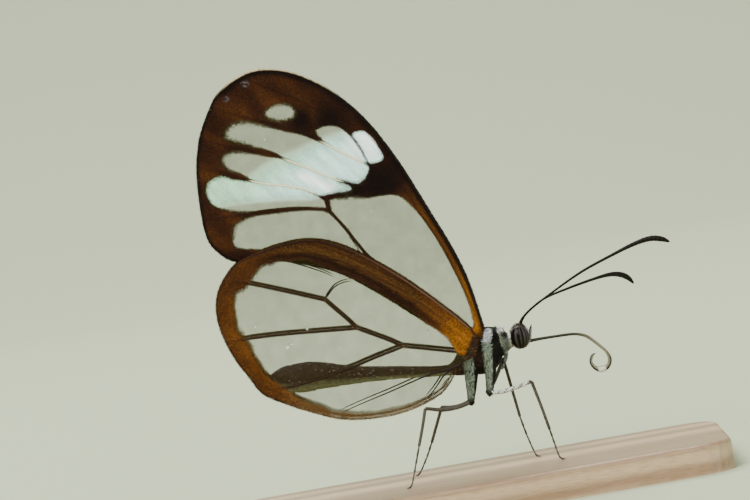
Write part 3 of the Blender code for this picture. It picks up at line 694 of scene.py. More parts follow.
RIGHT_FEELER_LINE = [
    (3.42, -0.24, 1.28, 0.14),
    (3.66, -0.40, 1.90, 0.095),
    (4.43, -0.62, 2.60, 0.078),
    (6.23, -1.05, 3.60, 0.075),
    (8.90, -1.70, 4.92, 0.09),
    (11.50, -2.30, 5.86, 0.105),
    (13.40, -2.70, 6.46, 0.15),
    (14.70, -2.95, 6.68, 0.19),
    (15.60, -3.10, 6.50, 0.18),
    (16.22, -3.18, 6.16, 0.07),
]
LEFT_FEELER_LINE = [
    (3.42, 0.24, 1.28, 0.14),
    (3.64, 0.42, 1.84, 0.095),
    (4.40, 0.85, 2.44, 0.078),
    (5.76, 1.95, 3.10, 0.075),
    (7.87, 3.70, 3.48, 0.09),
    (10.10, 5.56, 3.74, 0.105),
    (11.50, 6.74, 3.80, 0.15),
    (12.40, 7.50, 3.60, 0.19),
    (13.00, 8.04, 3.20, 0.18),
    (13.42, 8.38, 2.62, 0.07),
]
FEELER_JOINTS, JOINT_SWELL, FEELER_STOUT = 44, 0.10, 1.2
FEELER_ROWS, FEELER_SIDES = 700, 14
FEELER_DARK, FEELER_EDGE = (0.0022, 0.0016, 0.0012), (0.030, 0.020, 0.010)

feeler_finish = Finish("feeler_dark", Specular_IOR_Level=0.12)
grit = feeler_finish.noise(feeler_finish.places(), 14.0)
colour = feeler_finish.mix(feeler_finish.value("joint") * grit * 1.3, FEELER_DARK, FEELER_EDGE)
feeler_finish.wear(Base_Color=colour, Roughness=0.35 + 0.35 * grit)
feeler_finish.relief(grit, 0.02, 0.6)
for name, points in (("right", RIGHT_FEELER_LINE), ("left", LEFT_FEELER_LINE)):
    line = smooth_line(points, FEELER_ROWS)
    run = np.linspace(0, 1, FEELER_ROWS)
    joint = np.abs(np.sin(run * FEELER_JOINTS * math.pi)) ** 0.5
    line[:, 3] *= FEELER_STOUT * (1 - JOINT_SWELL * (1 - joint))
    line[:, 3] *= np.clip((1 - run) / 0.012, 0.05, 1) ** 0.5
    places, faces = sweep(line, FEELER_SIDES, across=(0.4, 1, 0))
    add_piece(
        "antenna_" + name + "_thread",
        places,
        faces,
        feeler_finish,
        "feeler_dark",
        ["antenna_" + name],
        values={"joint": np.append(np.repeat(1 - joint, FEELER_SIDES), [0, 0])},
    )


# The tongue: one hollow-looking fine tube that reaches forward, bends down and curls in at its end. It is
# dark olive at the mouth and turns pale and a little glassy in the curl, with a painted highlight at the
# curl's bottom.

TONGUE_LINE = [
    (3.72, 0, 0.06, 0.13),
    (4.15, 0, 0.11, 0.13),
    (5.22, 0, 0.12, 0.11),
    (6.83, 0, 0.08, 0.105),
    (7.60, 0, 0.02, 0.105),
    (8.14, 0, -0.13, 0.11),
    (8.66, 0, -0.42, 0.12),
    (9.44, 0, -1.24, 0.115),
    (9.88, 0, -1.80, 0.11),
    (10.06, 0, -2.42, 0.15),
    (9.84, 0, -2.94, 0.17),
    (9.30, 0, -3.12, 0.25),
    (8.80, 0.03, -2.94, 0.16),
    (8.54, 0.06, -2.44, 0.12),
    (8.72, 0.08, -1.96, 0.10),
    (9.06, 0.10, -1.78, 0.04),
]
TONGUE_OLIVE, TONGUE_PALE, TONGUE_DARK = (0.014, 0.013, 0.005), (0.20, 0.19, 0.115), (0.006, 0.005, 0.003)
TONGUE_GLINT, TONGUE_STOUT = (0.66, 0.66, 0.56), 1.12
TONGUE_ROWS, TONGUE_SIDES, RIDGE_PITCH, RIDGE_DEPTH = 420, 14, 260, 0.05

tongue_finish = Finish("tongue_skin", Specular_IOR_Level=0.25, Coat_Weight=0.2, Coat_Roughness=0.15)
bands = tongue_finish.noise(tongue_finish.places(), 16.0)
shade = tongue_finish.rise(tongue_finish.value("run"), 0.30, 0.62)
colour = tongue_finish.mix(shade, TONGUE_OLIVE, TONGUE_PALE)
dark_side = tongue_finish.value("outside") * tongue_finish.rise(tongue_finish.value("run"), 0.60, 0.70)
colour = tongue_finish.mix(dark_side, colour, TONGUE_DARK)
# A pale patch at the bottom of the curl: a painted highlight
colour = tongue_finish.mix(tongue_finish.value("glint"), colour, TONGUE_GLINT)
tongue_finish.wear(Base_Color=tongue_finish.shaded(colour, 0.7 + 0.6 * bands))
tongue_finish.wear(Roughness=0.25 + 0.3 * bands)
tongue_finish.relief(bands, 0.015, 0.6)
line = smooth_line(TONGUE_LINE, TONGUE_ROWS)
run = np.linspace(0, 1, TONGUE_ROWS)
line[:, 3] *= TONGUE_STOUT * (1 - RIDGE_DEPTH * (np.sin(run * RIDGE_PITCH) > 0))
line[:, 3] *= np.clip((1 - run) / 0.02, 0.1, 1) ** 0.5
places, faces = sweep(line, TONGUE_SIDES)
spin = np.sin(np.linspace(0, 2 * math.pi, TONGUE_SIDES, endpoint=False))
add_piece(
    "tongue",
    places,
    faces,
    tongue_finish,
    "feeler_dark",
    ["tongue_shaft", "tongue_bend", "tongue_curl"],
    values={
        "run": np.append(np.repeat(run, TONGUE_SIDES), [0, 1]),
        "outside": np.append(np.tile(clamp(spin * 2.0 + 0.4), TONGUE_ROWS), [0, 0]),
        "glint": within(places[:, 0], 9.32, 0.30, 0.15) * clamp((-2.88 - places[:, 2]) / 0.1),
    },
)


# The four standing legs: thigh, shin and a foot of five short joints that ends in two claws, all hard,
# grey-brown and slim, covered with fine scales, and with a few spines down the shin.

# Each leg's points from the hip down: the knee is the fourth, the ankle the sixth, the claws' root the last
LEG_LINES = {
    "mid_right": [
        (0.13, -0.84, -3.36), (1.10, -1.30, -3.42), (2.30, -1.80, -3.22), (3.52, -2.22, -2.94),
        (3.92, -2.42, -4.95), (4.28, -2.58, -6.98),
        (4.46, -2.65, -8.10), (4.66, -2.70, -9.14), (4.92, -2.74, -9.46),
    ],
    "mid_left": [
        (0.13, 0.84, -3.36), (0.66, 1.28, -2.70), (1.20, 1.80, -1.90), (1.70, 2.18, -1.06),
        (1.96, 2.42, -3.50), (2.24, 2.60, -6.04),
        (2.54, 2.72, -7.60), (2.94, 2.82, -9.14), (3.22, 2.86, -9.46),
    ],
    "hind_right": [
        (-1.46, -0.84, -3.84), (-2.50, -1.40, -4.02), (-3.80, -2.10, -3.96), (-5.20, -2.82, -3.56),
        (-5.66, -3.20, -4.90), (-6.22, -3.56, -6.40),
        (-6.74, -3.90, -7.80), (-7.26, -4.18, -9.16), (-7.56, -4.30, -9.46),
    ],
    "hind_left": [
        (-1.46, 0.84, -3.84), (-2.20, 1.40, -4.12), (-3.00, 2.10, -4.24), (-3.86, 2.82, -4.14),
        (-4.50, 3.40, -5.56), (-5.14, 3.92, -6.96),
        (-5.76, 4.36, -8.14), (-6.40, 4.72, -9.16), (-6.70, 4.84, -9.46),
    ],
}
FEMUR_RADII, TIBIA_RADII, TARSUS_RADIUS, TARSUS_JOINTS = (0.14, 0.16, 0.135), (0.13, 0.12, 0.115), 0.085, 5
KNEE_RADIUS, CLAW_RADII, CLAW_BENDS = 0.125, (0.035, 0.03, 0.01), ((0.14, 0.07), (0.24, 0.10))
LONG_ROWS, FOOT_ROWS, CLAW_ROWS = 90, 120, 16
LEG_BROWN, LEG_GREY, LEG_PALE = (0.050, 0.040, 0.025), (0.15, 0.14, 0.105), (0.72, 0.71, 0.66)
SPINES, SPINE_SIZE, SPINE_LIFT = 24, (0.14, 0.022), 0.5
LEG_SCALES, LEG_SCALE_SIZE, LEG_SCALE_THICK, LEG_SEED = 1500, (0.085, 0.035), 0.008, 3

leg_finish = Finish("leg_scales", Specular_IOR_Level=0.25)
speckle = leg_finish.noise(leg_finish.places(), 9.0, 3.0)
leg_cells = leg_finish.cells(leg_finish.places(), 12.0)
tone = 0.5 + 0.6 * speckle + 0.5 * leg_cells
leg_finish.wear(Base_Color=leg_finish.shaded(leg_finish.held("marking"), tone))
leg_finish.wear(Roughness=0.45 + 0.3 * speckle)
leg_finish.relief(leg_cells, 0.02, 0.6)


def with_radius(line, radii, count):
    """A smooth line whose radius runs through the given ones, rounded off at both ends."""
    line = smooth_line(line, count)
    run = np.linspace(0, 1, count)
    radius = np.interp(run, np.linspace(0, 1, len(radii)), radii)
    ends = np.clip(np.minimum(run, 1 - run) / 0.02, 0.1, 1) ** 0.5
    return np.column_stack([line, radius * ends])


def leg_shapes(points):
    """Thigh, shin, five foot joints each widest at its far end, a round knee and two hooked claws."""
    femur = with_radius(points[:4], FEMUR_RADII, LONG_ROWS)
    tibia = with_radius(points[3:6], TIBIA_RADII, LONG_ROWS)
    tarsus = smooth_line(points[5:], FOOT_ROWS)
    run = np.linspace(0, TARSUS_JOINTS, FOOT_ROWS)
    tarsus = np.column_stack([tarsus, TARSUS_RADIUS * (0.72 + 0.36 * (run % 1) ** 1.5) * (1.05 - 0.05 * run)])
    tarsus[:, 3] *= np.clip((TARSUS_JOINTS - run) / 0.1, 0.2, 1)
    end, before = tarsus[-1, :3], tarsus[-16, :3]
    ahead = unit(end - before) * (1, 1, 0)
    beside = np.cross(ahead, (0, 0, 1))
    claws = []
    for side in (RIGHT, LEFT):
        curve = np.array([end] + [end + out * ahead + side * wide * beside for out, wide in CLAW_BENDS])
        curve[1:, 2] = end[2] + np.array((0.05, -0.02))
        claws.append(sweep(with_radius(curve, CLAW_RADII, CLAW_ROWS), 8))
    knee = ball(femur[-3, :3], (KNEE_RADIUS,) * 3, 12, 16)
    return tibia, [sweep(femur, 18), sweep(tibia, 16), sweep(tarsus, 14), knee, *claws]


def leg_colours(name, places):
    """Grey-brown, a little greyer on the foot, with a paler grey band across the shin that is painted side
    light; the near front thigh is frosted with pale scales.
    """
    along, _, height = places.T
    frosted = within(height, -3.2, 0.6, 0.2) * (name == "mid_right") * clamp((3.4 - along) / 0.3)
    frosted *= clamp(1.1 + 1.6 * np.sin(19 * along + 3 * height) * np.sin(14 * height + 7 * along))
    lower = within(height, -8.4, 0.8, 0.5) * 0.5
    # A paler grey band across the shins: painted light on their sides
    side_light = within(height, -5.0, 1.6, 0.8) * 0.25
    return layered(LEG_BROWN, (side_light, LEG_GREY), (lower, LEG_GREY), (frosted, LEG_PALE))


leg_draw = np.random.default_rng(LEG_SEED)
for name, points in LEG_LINES.items():
    tibia, shapes = leg_shapes(points)
    places, faces = joined([(places, outward(places, faces)) for places, faces in shapes])
    at = leg_draw.integers(12, len(tibia) - 2, SPINES)
    out = unit(leg_draw.normal(0, 1, (SPINES, 3)) * (1, 1, 0.1))
    down = unit(np.gradient(tibia[:, :3], axis=0))[at]
    out = unit(out - np.einsum("ij,ij->i", out, down)[:, None] * down)
    long = SPINE_SIZE[0] * (0.7 + 0.6 * leg_draw.random(SPINES))
    wide, lift = 0 * long + SPINE_SIZE[1], 0 * long + SPINE_LIFT
    spines = leaves(tibia[at, :3] + out * 0.08, out, down, long, wide, lift)
    roots, normals = scattered(places, faces, evenly, LEG_SCALES, leg_draw)
    heading = np.where(roots[:, 2:] > -3.1, (0.2, 0.0, -1.0), (-0.1, 0, -1.0))
    heading = heading + leg_draw.normal(0, 0.2, roots.shape)
    size = 0.7 + 0.6 * leg_draw.random(LEG_SCALES)
    long, wide = (measure * size for measure in LEG_SCALE_SIZE)
    scales = leaves(roots, normals, heading, long, wide, np.radians(6 * size), LEG_SCALE_THICK)
    every, sides = joined([(places, faces), spines, scales])
    odd = np.where(leg_draw.random((LEG_SCALES, 1)) < 0.3, 0.25, 0.7 + 0.6 * leg_draw.random((LEG_SCALES, 1)))
    shade = np.vstack(
        [
            leg_colours(name, places),
            np.repeat(leg_colours(name, tibia[at, :3]), LEAF_POINTS, axis=0),
            np.repeat(leg_colours(name, roots) * odd, LEAF_POINTS, axis=0),
        ]
    )
    nodes = [f"{part}_{name}" for part in ("femur", "tibia", "tarsus")]
    add_piece("leg_" + name, every, sides, leg_finish, "leg_scales", nodes, colours={"marking": shade})


# The wings: clear, faintly smoky membrane that hardly shines, dark scaled borders, and a milky band across
# each forewing. A wing is a thin closed sheet spanned between its leading and its trailing edge.

# Outlines, veins and markings lie in the wing's own plane: along it from root to tip and across it,
# above zero towards the leading edge
SHEET_HALF, EDGE_INSET, BELLY = 0.022, 0.08, 0.05
VEIN_SWELL, VEIN_SPREAD, VEIN_POINTS = 0.025, 0.13, 90


def distance_to_line(points, line):
    """The shortest distance from each point to a run of straight pieces, in strips to save memory."""
    starts, along = line[:-1], np.diff(line, axis=0)
    square = np.maximum((along**2).sum(1), 1e-12)
    found = []
    for strip in np.array_split(points, max(1, len(points) * len(line) // 2_000_000)):
        away = strip[:, None] - starts[None]
        share = clamp(np.einsum("pij,ij->pi", away, along) / square)
        found.append(np.linalg.norm(away - share[..., None] * along[None], axis=2).min(1))
    return np.concatenate(found)


def depth_inside(points, outline, count=120):
    """How far each point lies inside a smooth closed outline; below zero outside it. A point is inside where
    a level line from it crosses the outline an odd number of times."""
    line = smooth_line(outline, count, closed=True)
    a, b = line, np.roll(line, -1, axis=0)
    rise = np.where(b[:, 1] == a[:, 1], 1, b[:, 1] - a[:, 1])
    inside = []
    for strip in np.array_split(points, max(1, len(points) * count // 2_000_000)):
        x, y = strip[:, :1], strip[:, 1:]
        spans = (a[:, 1] > y) != (b[:, 1] > y)
        inside.append((spans & (x < (b[:, 0] - a[:, 0]) * (y - a[:, 1]) / rise + a[:, 0])).sum(1) % 2)
    return np.where(np.concatenate(inside), 1, -1) * distance_to_line(points, np.vstack([line, line[:1]]))


def inset(line, centre, amount):
    """An edge drawn in from the outline, square to it and towards the centre."""
    way = unit(np.gradient(line, axis=0))
    normal = np.column_stack([-way[:, 1], way[:, 0]])
    normal *= np.sign(np.einsum("ij,ij->i", centre - line, normal))[:, None]
    return line + normal * amount


def in_body(flat, root, lean):
    """Where points of the wing's plane lie beside the body, as x and z."""
    angle = math.radians(lean)
    along = np.array([math.cos(angle), math.sin(angle)])
    forward = np.array([math.sin(angle), -math.cos(angle)])
    return np.array(root) + flat[..., :1] * along + flat[..., 1:] * forward


def bump(places, centre, width):
    """A round swelling: e to the power of minus the square of the distance to its centre over its width."""
    return np.exp(-((np.hypot(places[..., 0] - centre[0], places[..., 1] - centre[1]) / width) ** 2))


def sheet_faces(rows, columns):
    """Both faces of a grid and the wall round its rim, the far face's points following the near one's."""
    face = grid_faces(rows, columns, wrap=False)
    index = np.arange(rows * columns).reshape(rows, columns)
    rim = np.concatenate([index[0], index[1:, -1], index[-1, -2::-1], index[-2:0:-1, 0]])
    after = np.roll(rim, -1)
    count = rows * columns
    wall = np.stack([rim, after, after + count, rim, after + count, rim + count], -1).reshape(-1, 3)
    return np.vstack([face, face[:, ::-1] + count, wall[:, ::-1]])


# Hair-fine veins, which grow finer still towards their ends and have no dark film beside them
FINE_VEINS = {"forewing": (), "hindwing": ("cell_end", "radius_tip", "anal_1", "anal_2")}


class Wing:
    """A pair of wings alike, worked out once for both sides. The sheet is a grid: each row runs straight
    across from a place on the trailing edge to the place as far along the leading edge."""

    def __init__(self, kind, root, lean, apart, leading, trailing, veins, rows, columns):
        self.kind, self.root, self.lean, self.apart = kind, root, lean, apart
        self.rows, self.columns = rows, columns
        self.veins = {name: smooth_line(line, VEIN_POINTS) for name, line in veins.items()}
        self.strong = [line for name, line in self.veins.items() if name not in FINE_VEINS[kind]]
        front = smooth_line(leading, rows, beyond=trailing[-2])
        back = smooth_line(trailing, rows, beyond=leading[-2])
        self.outline = np.vstack([front, back[::-1]])
        self.centre = self.outline.mean(0)
        self.front, back = (inset(line, self.centre, EDGE_INSET) for line in (front, back))
        share = np.linspace(0, 1, columns)[None, :, None]
        self.flat = (back[:, None] * (1 - share) + self.front[:, None] * share).reshape(-1, 2)
        self.low, self.size = self.flat.min(0), np.ptp(self.flat, axis=0).max()

    def to_edge(self, flat):
        """How far each point lies from the wing's rim."""
        return distance_to_line(flat, np.vstack([self.outline, self.outline[:1]]))

    def to_vein(self, flat):
        """How far each point lies from the nearest strong vein."""
        return np.min([distance_to_line(flat, line) for line in self.strong], axis=0)

    def place(self, flat, side, off=0.0):
        """Points of the wing's plane beside the body, so far off its middle, which bellies a little."""
        beside = in_body(flat, self.root, self.lean)
        belly = BELLY * np.sin(1.3 * flat[..., 1] + 0.35 * flat[..., 0]) * clamp(flat[..., 0] / 6)
        out = side * (self.apart(beside) + belly + off)
        return np.stack([beside[..., 0], np.broadcast_to(out, beside.shape[:-1]), beside[..., 1]], -1)

    def map_at(self, flat):
        """Where points of the wing's plane lie on its map."""
        return (flat - self.low) / self.size * 0.96 + 0.02

    def sheet(self, side, vein):
        """The membrane's two faces, thicker over each vein, and its map: one face above the other."""
        half = SHEET_HALF + VEIN_SWELL * np.exp(-((vein / VEIN_SPREAD) ** 2))
        places = np.vstack([self.place(self.flat, side, half), self.place(self.flat, side, -half)])
        share = self.map_at(self.flat) * (1, 0.5)
        return places, sheet_faces(self.rows, self.columns), np.vstack([share, share + (0, 0.5)])


def blots(flat, spots):
    """1 in the middle of each round spot, given as its place and its radius, fading to 0 at its edge."""
    return np.max([clamp(1.3 - np.hypot(*(flat - (x, y)).T) / r) for x, y, r in spots], axis=0)


def mottling(flat, seed, scale):
    """Smooth uneven shading from 0 to 1: twelve waves in chance directions laid over one another."""
    draw = np.random.default_rng(seed)
    turn = draw.random(12) * math.tau
    pitch = scale * (0.6 + 1.4 * draw.random(12))
    start = draw.random(12) * math.tau
    waves = flat[:, :1] * np.cos(turn) * pitch * 0.6 + flat[:, 1:] * np.sin(turn) * pitch + start
    return clamp(0.5 + np.sin(waves).sum(1) / 7)


INK, COCOA, RUST = (0.0045, 0.0013, 0.0007), (0.023, 0.0064, 0.0017), (0.066, 0.021, 0.0040)
CHESTNUT, GINGER, AMBER = (0.100, 0.034, 0.0045), (0.19, 0.062, 0.0060), (0.29, 0.108, 0.009)
HONEY, HAIR_BROWN = (0.110, 0.048, 0.0085), (0.016, 0.009, 0.006)
TAN, ASH, DUST = (0.13, 0.066, 0.020), (0.13, 0.13, 0.135), (0.74, 0.76, 0.66)
MILK, BRIGHT, MINT = (0.66, 0.95, 0.90), (0.96, 1.0, 0.98), (0.48, 0.78, 0.54)
SMOKE, HALO_BROWN = (0.046, 0.037, 0.007), (0.034, 0.014, 0.0035)
FILM_ALPHA, SCALED_ALPHA, MILKY_ALPHA, HALO_ALPHA, DUST_ALPHA = 0.145, 0.98, 0.88, 0.74, 0.9
# How the scale rows and the band's painted sheen are stretched, how deep the scales' relief is, and how
# strongly the milky band glows as painted light
SCALE_ROWS, SHEEN_STREAKS, SCALE_DEPTH, BAND_GLOW = (0.60, 1.0, 1.0), (0.22, 1.0, 1.0), 0.008, 0.45
# Between which values each marking's edge turns from none to full
BORDER_EDGE, HALO_EDGE, DUST_EDGE, MINT_FROM = (-0.12, 0.18), (0.075, 0.175), (0.36, 0.46), (19.5, 24.0)

FOREWING_ROOT, FOREWING_LEAN = (0.16, 1.35), 125.5
FOREWING_LEADING = [
    (-0.7, 0.1), (1.1, 1.1), (3.7, 2.4), (6.4, 3.35), (9.8, 4.2), (14.5, 5.3), (18.4, 5.8), (21.6, 5.6),
    (24.1, 4.92), (26.25, 3.76), (27.8, 2.0), (28.42, -0.6),
]
FOREWING_TRAILING = [
    (-0.7, -0.5), (1.2, -1.4), (4.0, -2.4), (7.9, -3.3), (11.7, -4.5), (15.4, -6.9), (17.8, -9.4),
    (19.7, -10.0), (21.5, -9.5), (24.7, -7.1), (26.7, -4.9), (27.9, -2.6), (28.42, -0.66),
]
FOREWING_VEINS = {
    "cubitus": [
        (0.0, -0.3), (4.0, -0.8), (7.8, -1.4), (10.5, -1.8), (12.1, -1.7), (13.9, -1.5), (15.6, -1.4),
    ],
    "cell_end": [(15.6, -1.4), (16.3, -1.0), (16.2, -0.5), (15.9, 0.2)],
    "cubitus_2": [(11.0, -2.1), (11.5, -3.4), (13.2, -4.95), (15.2, -6.3), (16.9, -7.75), (18.3, -9.2)],
    "cubitus_1": [(15.6, -1.4), (17.2, -2.8), (18.9, -4.7), (20.4, -6.7), (22.0, -8.8)],
    "media_3": [(16.3, -0.95), (17.8, -1.4), (19.1, -2.2), (21.2, -3.8), (23.6, -5.1), (25.5, -6.3)],
    "media_2": [
        (15.0, 1.8), (17.0, 0.7), (19.0, -0.1), (20.8, -0.9), (22.2, -1.5), (24.1, -2.9), (27.0, -4.7),
    ],
    "media_1": [(15.9, 3.4), (17.5, 2.8), (19.8, 2.1), (21.7, 1.4), (24.2, 0.0), (28.0, -2.2)],
    "radius_5": [
        (15.9, 3.4), (16.5, 3.6), (17.2, 3.9), (18.0, 4.0), (18.7, 4.1), (20.4, 3.9), (23.4, 3.2),
        (27.9, 1.3),
    ],
    "radius": [(0.2, 0.35), (3.4, 1.68), (7.2, 2.94), (10.5, 3.6), (13.2, 4.1), (15.9, 3.4)],
    "anal": [(0.0, -0.3), (3.8, -2.0), (8.0, -2.9), (12.0, -4.1), (15.6, -6.4), (18.0, -9.0)],
}
# Where along the wing each cream vein starts and ends
CREAM_VEINS = {
    ("forewing", "media_1"): (16.1, 19.9),
    ("forewing", "media_2"): (16.4, 21.0),
    ("forewing", "media_3"): (17.2, 21.9),
}
FOREWING_WINDOWS = {
    "near_tip": [
        (24.7, 0.55), (24.75, 1.05), (24.5, 1.7), (24.0, 2.25), (23.3, 2.45), (22.8, 2.15), (22.85, 1.6),
        (23.4, 0.85), (24.2, 0.4),
    ],
    "under_costa": [
        (18.5, 4.22), (18.3, 4.8), (17.9, 5.1), (17, 5.1), (16.1, 4.9), (15.5, 4.7), (15.4, 4.3),
        (15.8, 3.64), (16.2, 3.56), (17.1, 3.85), (17.8, 4.03),
    ],
    "through_band": [
        (18.9, 3), (18, 3.4), (17.2, 3.4), (16.3, 3.3), (16, 2.6), (16.4, 1.5), (17, 0.4), (17, -0.3),
        (17.3, -1), (18.1, -1.8), (19.3, -2.8), (20.5, -3.6), (21, -3.6), (20.9, -2.6), (20.4, -1.1),
        (19.9, 0.7), (19.4, 2.1),
    ],
    "first": [
        (20.7, 2.3), (20.8, 2.6), (20.5, 3.2), (19.9, 3.8), (19.2, 4.05), (18.5, 4.1), (17.8, 3.98),
        (17, 3.78), (16.1, 3.5), (16.7, 2.95), (18.3, 2.5), (19.6, 2.2),
    ],
    "second": [
        (25.8, -2.9), (26, -2.3), (25.7, -1.5), (25.1, -0.8), (23.9, -0.1), (22.6, 0.6), (21.5, 1.3),
        (20.4, 1.8), (19.5, 2.25), (17.9, 2.85), (16.7, 3.2), (15.8, 3.35), (15.4, 2.8), (15.3, 2.2),
        (15.5, 1.6), (16.3, 1.15), (17.3, 0.45), (19, -0.25), (20.6, -0.9), (22.1, -1.3), (23.5, -2.1),
        (24.7, -2.8), (25.4, -3.1),
    ],
    "third": [
        (24.5, -4.6), (24.6, -4), (24.1, -3.2), (23.2, -2.5), (22, -1.7), (20.7, -0.75), (19.1, 0.0),
        (17.5, 0.6), (16.4, 0.9), (15.6, 1.2), (15.5, 0.8), (16, 0.1), (16.5, -0.5), (16.9, -1.1),
        (17.8, -1.5), (19.1, -2.3), (20.3, -3.2), (21.3, -3.9), (22.6, -4.3), (23.7, -4.8),
    ],
    "fourth": [
        (23.6, -7.2), (24, -6.5), (23.6, -5.5), (22.6, -4.9), (21.3, -3.85), (20, -2.8), (18.3, -1.65),
        (17.2, -1.2), (16.3, -1.1), (15.8, -1.4), (16.1, -1.7), (17.4, -2.9), (18.8, -4.5), (20, -6),
        (21.3, -7.1), (22.5, -7.6),
    ],
    "fifth": [
        (19.6, -8.3), (20.1, -7.5), (19.7, -6.2), (18.5, -4.6), (17.2, -3), (16.3, -2.1), (15.6, -1.6),
        (13.9, -1.5), (12.9, -1.7), (11.7, -2), (11.3, -2.5), (11.8, -2.9), (12.4, -3.8), (13.6, -4.7),
        (15.3, -5.8), (16.8, -7.1), (18.1, -8.3), (18.9, -8.8),
    ],
    "cell": [
        (15.1, -1.4), (15.7, -1.1), (16.1, -0.7), (15.3, 0.3), (15.1, 0.6), (14, 1.6), (13.2, 2.7),
        (12.3, 3.4), (10.9, 3.5), (9.4, 3.38), (7.6, 2.98), (5.1, 2.25), (3.3, 1.58), (1.4, 0.62),
        (0.7, -0.1), (1.9, -0.9), (4.4, -1.7), (7.3, -2.3), (9.6, -2.8), (11, -2.3), (13.1, -1.5),
    ],
}
# How much softer than the rest some windows' edges are, and the round places where all are softer
BLURRED_WINDOWS = {"near_tip": 2.0, "through_band": 2.0}
BLURRED_SPOTS = [(15.5, 0.8, 1.5), (20.0, -7.5, 1.5)]
# Each milky patch: the windows that it lies in, how softly it starts and ends, and its outline
MILKY_PATCHES = [
    (
        ("under_costa",),
        0.16,
        [
            (18.8, 4), (18.8, 4.6), (18, 5.3), (17, 5.3), (15.8, 5.1), (15.2, 4.8), (15, 4.2),
            (15.7, 3.4), (16.6, 3.7), (17.7, 3.9),
        ],
    ),
    (
        ("first", "second", "third", "through_band"),
        1.1,
        [
            (19.5, 2.1), (19.0, 3.0), (18.5, 3.9), (18.3, 5.1), (17.4, 5.6), (15.9, 4.7), (15.4, 3.7),
            (15.5, 3.1), (15.3, 2.4), (15.5, 1.6), (15.8, 0.9), (16, 0.4), (16.3, -0.3), (16.3, -0.8),
            (15.9, -1.3), (17.2, -2.6), (19, -3.8), (20.2, -4.7), (21.1, -4.8), (21.4, -4.1),
            (21.3, -2.8), (20.9, -1.5), (20.4, -0.4), (20.0, 0.8),
        ],
    ),
    (
        ("fourth",),
        0.6,
        [
            (23.9, -7.4), (24.3, -6.4), (23.9, -5.2), (22.7, -4.4), (21.3, -3.4), (19.3, -1.9),
            (18, -1.2), (17.2, -1.1), (17.5, -1.7), (18.5, -2.7), (19.6, -3.9), (20.6, -5.1),
            (21.4, -6.1), (22.1, -7), (22.9, -7.6),
        ],
    ),
]
# The whitest part of the band, which also glows most there as painted light: a streak below the second vein,
# and the patch under the front edge
BRIGHT_STREAK, BRIGHT_PATCH = np.array([[19.1, -0.9], [16.8, -0.1]]), (17.2, 4.5, 1.6)
# Round spots, each its place and radius: rusty ones on the border, the dark bar's, ashy ones at the tip, dust
RUSTY_SPOTS = [
    (25.6, 2.4, 2.2), (26.6, -0.6, 1.6), (22.6, 3.2, 1.8), (24.6, -5.8, 1.5), (13.5, -5.3, 2.4),
    (20.8, -8.6, 1.8),
]
BAR_SPOTS = [(14.2, 3.0, 2.6), (15.2, 1.0, 1.6), (20.6, 3.6, 1.6), (22.3, 2.2, 1.3)]
ASHY_SPOTS = [(27.4, 1.1, 0.30), (27.6, -0.8, 0.26)]
DUST_ON_FOREWING = [
    (13.1, 0.9, 0.12), (9.2, 0.6, 0.10), (18.2, -6.4, 0.10), (23.2, -1.0, 0.16), (6.0, -0.6, 0.10),
]

forewing = Wing(
    "forewing",
    FOREWING_ROOT,
    FOREWING_LEAN,
    lambda places: 0.52 + 0.50 * bump(places, FOREWING_ROOT, 3.5),
    FOREWING_LEADING,
    FOREWING_TRAILING,
    FOREWING_VEINS,
    rows=250,
    columns=122,
)


def milkiness(flat):
    """How milky the forewing is: 0.5 on a patch's outline, 1 well inside it and 0 past its windows."""
    found = []
    for windows, fade, patch in MILKY_PATCHES:
        inside = np.max([depth_inside(flat, FOREWING_WINDOWS[key]) for key in windows], axis=0)
        found.append(clamp(0.5 + 0.5 * depth_inside(flat, patch) / fade) * clamp(0.6 + inside / 0.2))
    return np.max(found, axis=0)


def brightness(flat):
    """How near white the milky band is, and how much its painted glow grows: 1 along its streak and in the
    patch under the front edge.
    """
    streak = clamp(1.2 - distance_to_line(flat, BRIGHT_STREAK) / 0.5)
    return np.maximum(streak, 0.8 * blots(flat, [BRIGHT_PATCH]))


def forewing_colours(flat, edge, vein):
    """Cocoa brown with rusty patches, inky along the front edge, at the vein ends and across the cell's end,
    and a narrow orange strip behind the front edge near the root."""
    along, across = flat.T
    front = distance_to_line(flat, smooth_line(FOREWING_LEADING, 160))
    uneven = mottling(flat, 2, 2.2)
    strip = (front < 1.7) * (across > -0.4)
    hind_part = clamp((12.0 - along) / 3.0) * (across < -0.4)
    root = clamp((0.5 - along) / 0.5)
    return layered(
        COCOA,
        (0.50 * clamp(blots(flat, RUSTY_SPOTS) * (0.35 + uneven)), RUST),
        (0.45 * clamp((uneven - 0.62) / 0.38), RUST),
        (0.92 * blots(flat, BAR_SPOTS), INK),
        (hind_part, RUST),
        (strip * clamp((13.0 - along) / 3.0), CHESTNUT),
        (strip * clamp((5.5 - along) / 4.5), AMBER),
        (0.9 * clamp(1.75 - front / (0.15 + 0.21 * clamp(along / 14))), INK),
        (0.6 * clamp(1 - vein / 0.22), INK),
        (0.9 * clamp(1.5 - edge / 0.20), INK),
        (0.8 * root, COCOA),
        (0.8 * blots(flat, ASHY_SPOTS) * (mottling(flat, 3, 26.0) > 0.5), ASH),
    )


def forewing_depth(flat):
    """How deep each place lies in the clear windows; below zero in the border. Depth grows more slowly where
    a window's edge is blurred."""
    depths = [
        depth_inside(flat, line) / BLURRED_WINDOWS.get(key, 1) for key, line in FOREWING_WINDOWS.items()
    ]
    blur = 1.8 * clamp((flat[:, 0] - 22.6) / 2.0) * (flat[:, 1] < 0.2)
    return np.max(depths, axis=0) / (1 + blur + 1.5 * blots(flat, BLURRED_SPOTS))


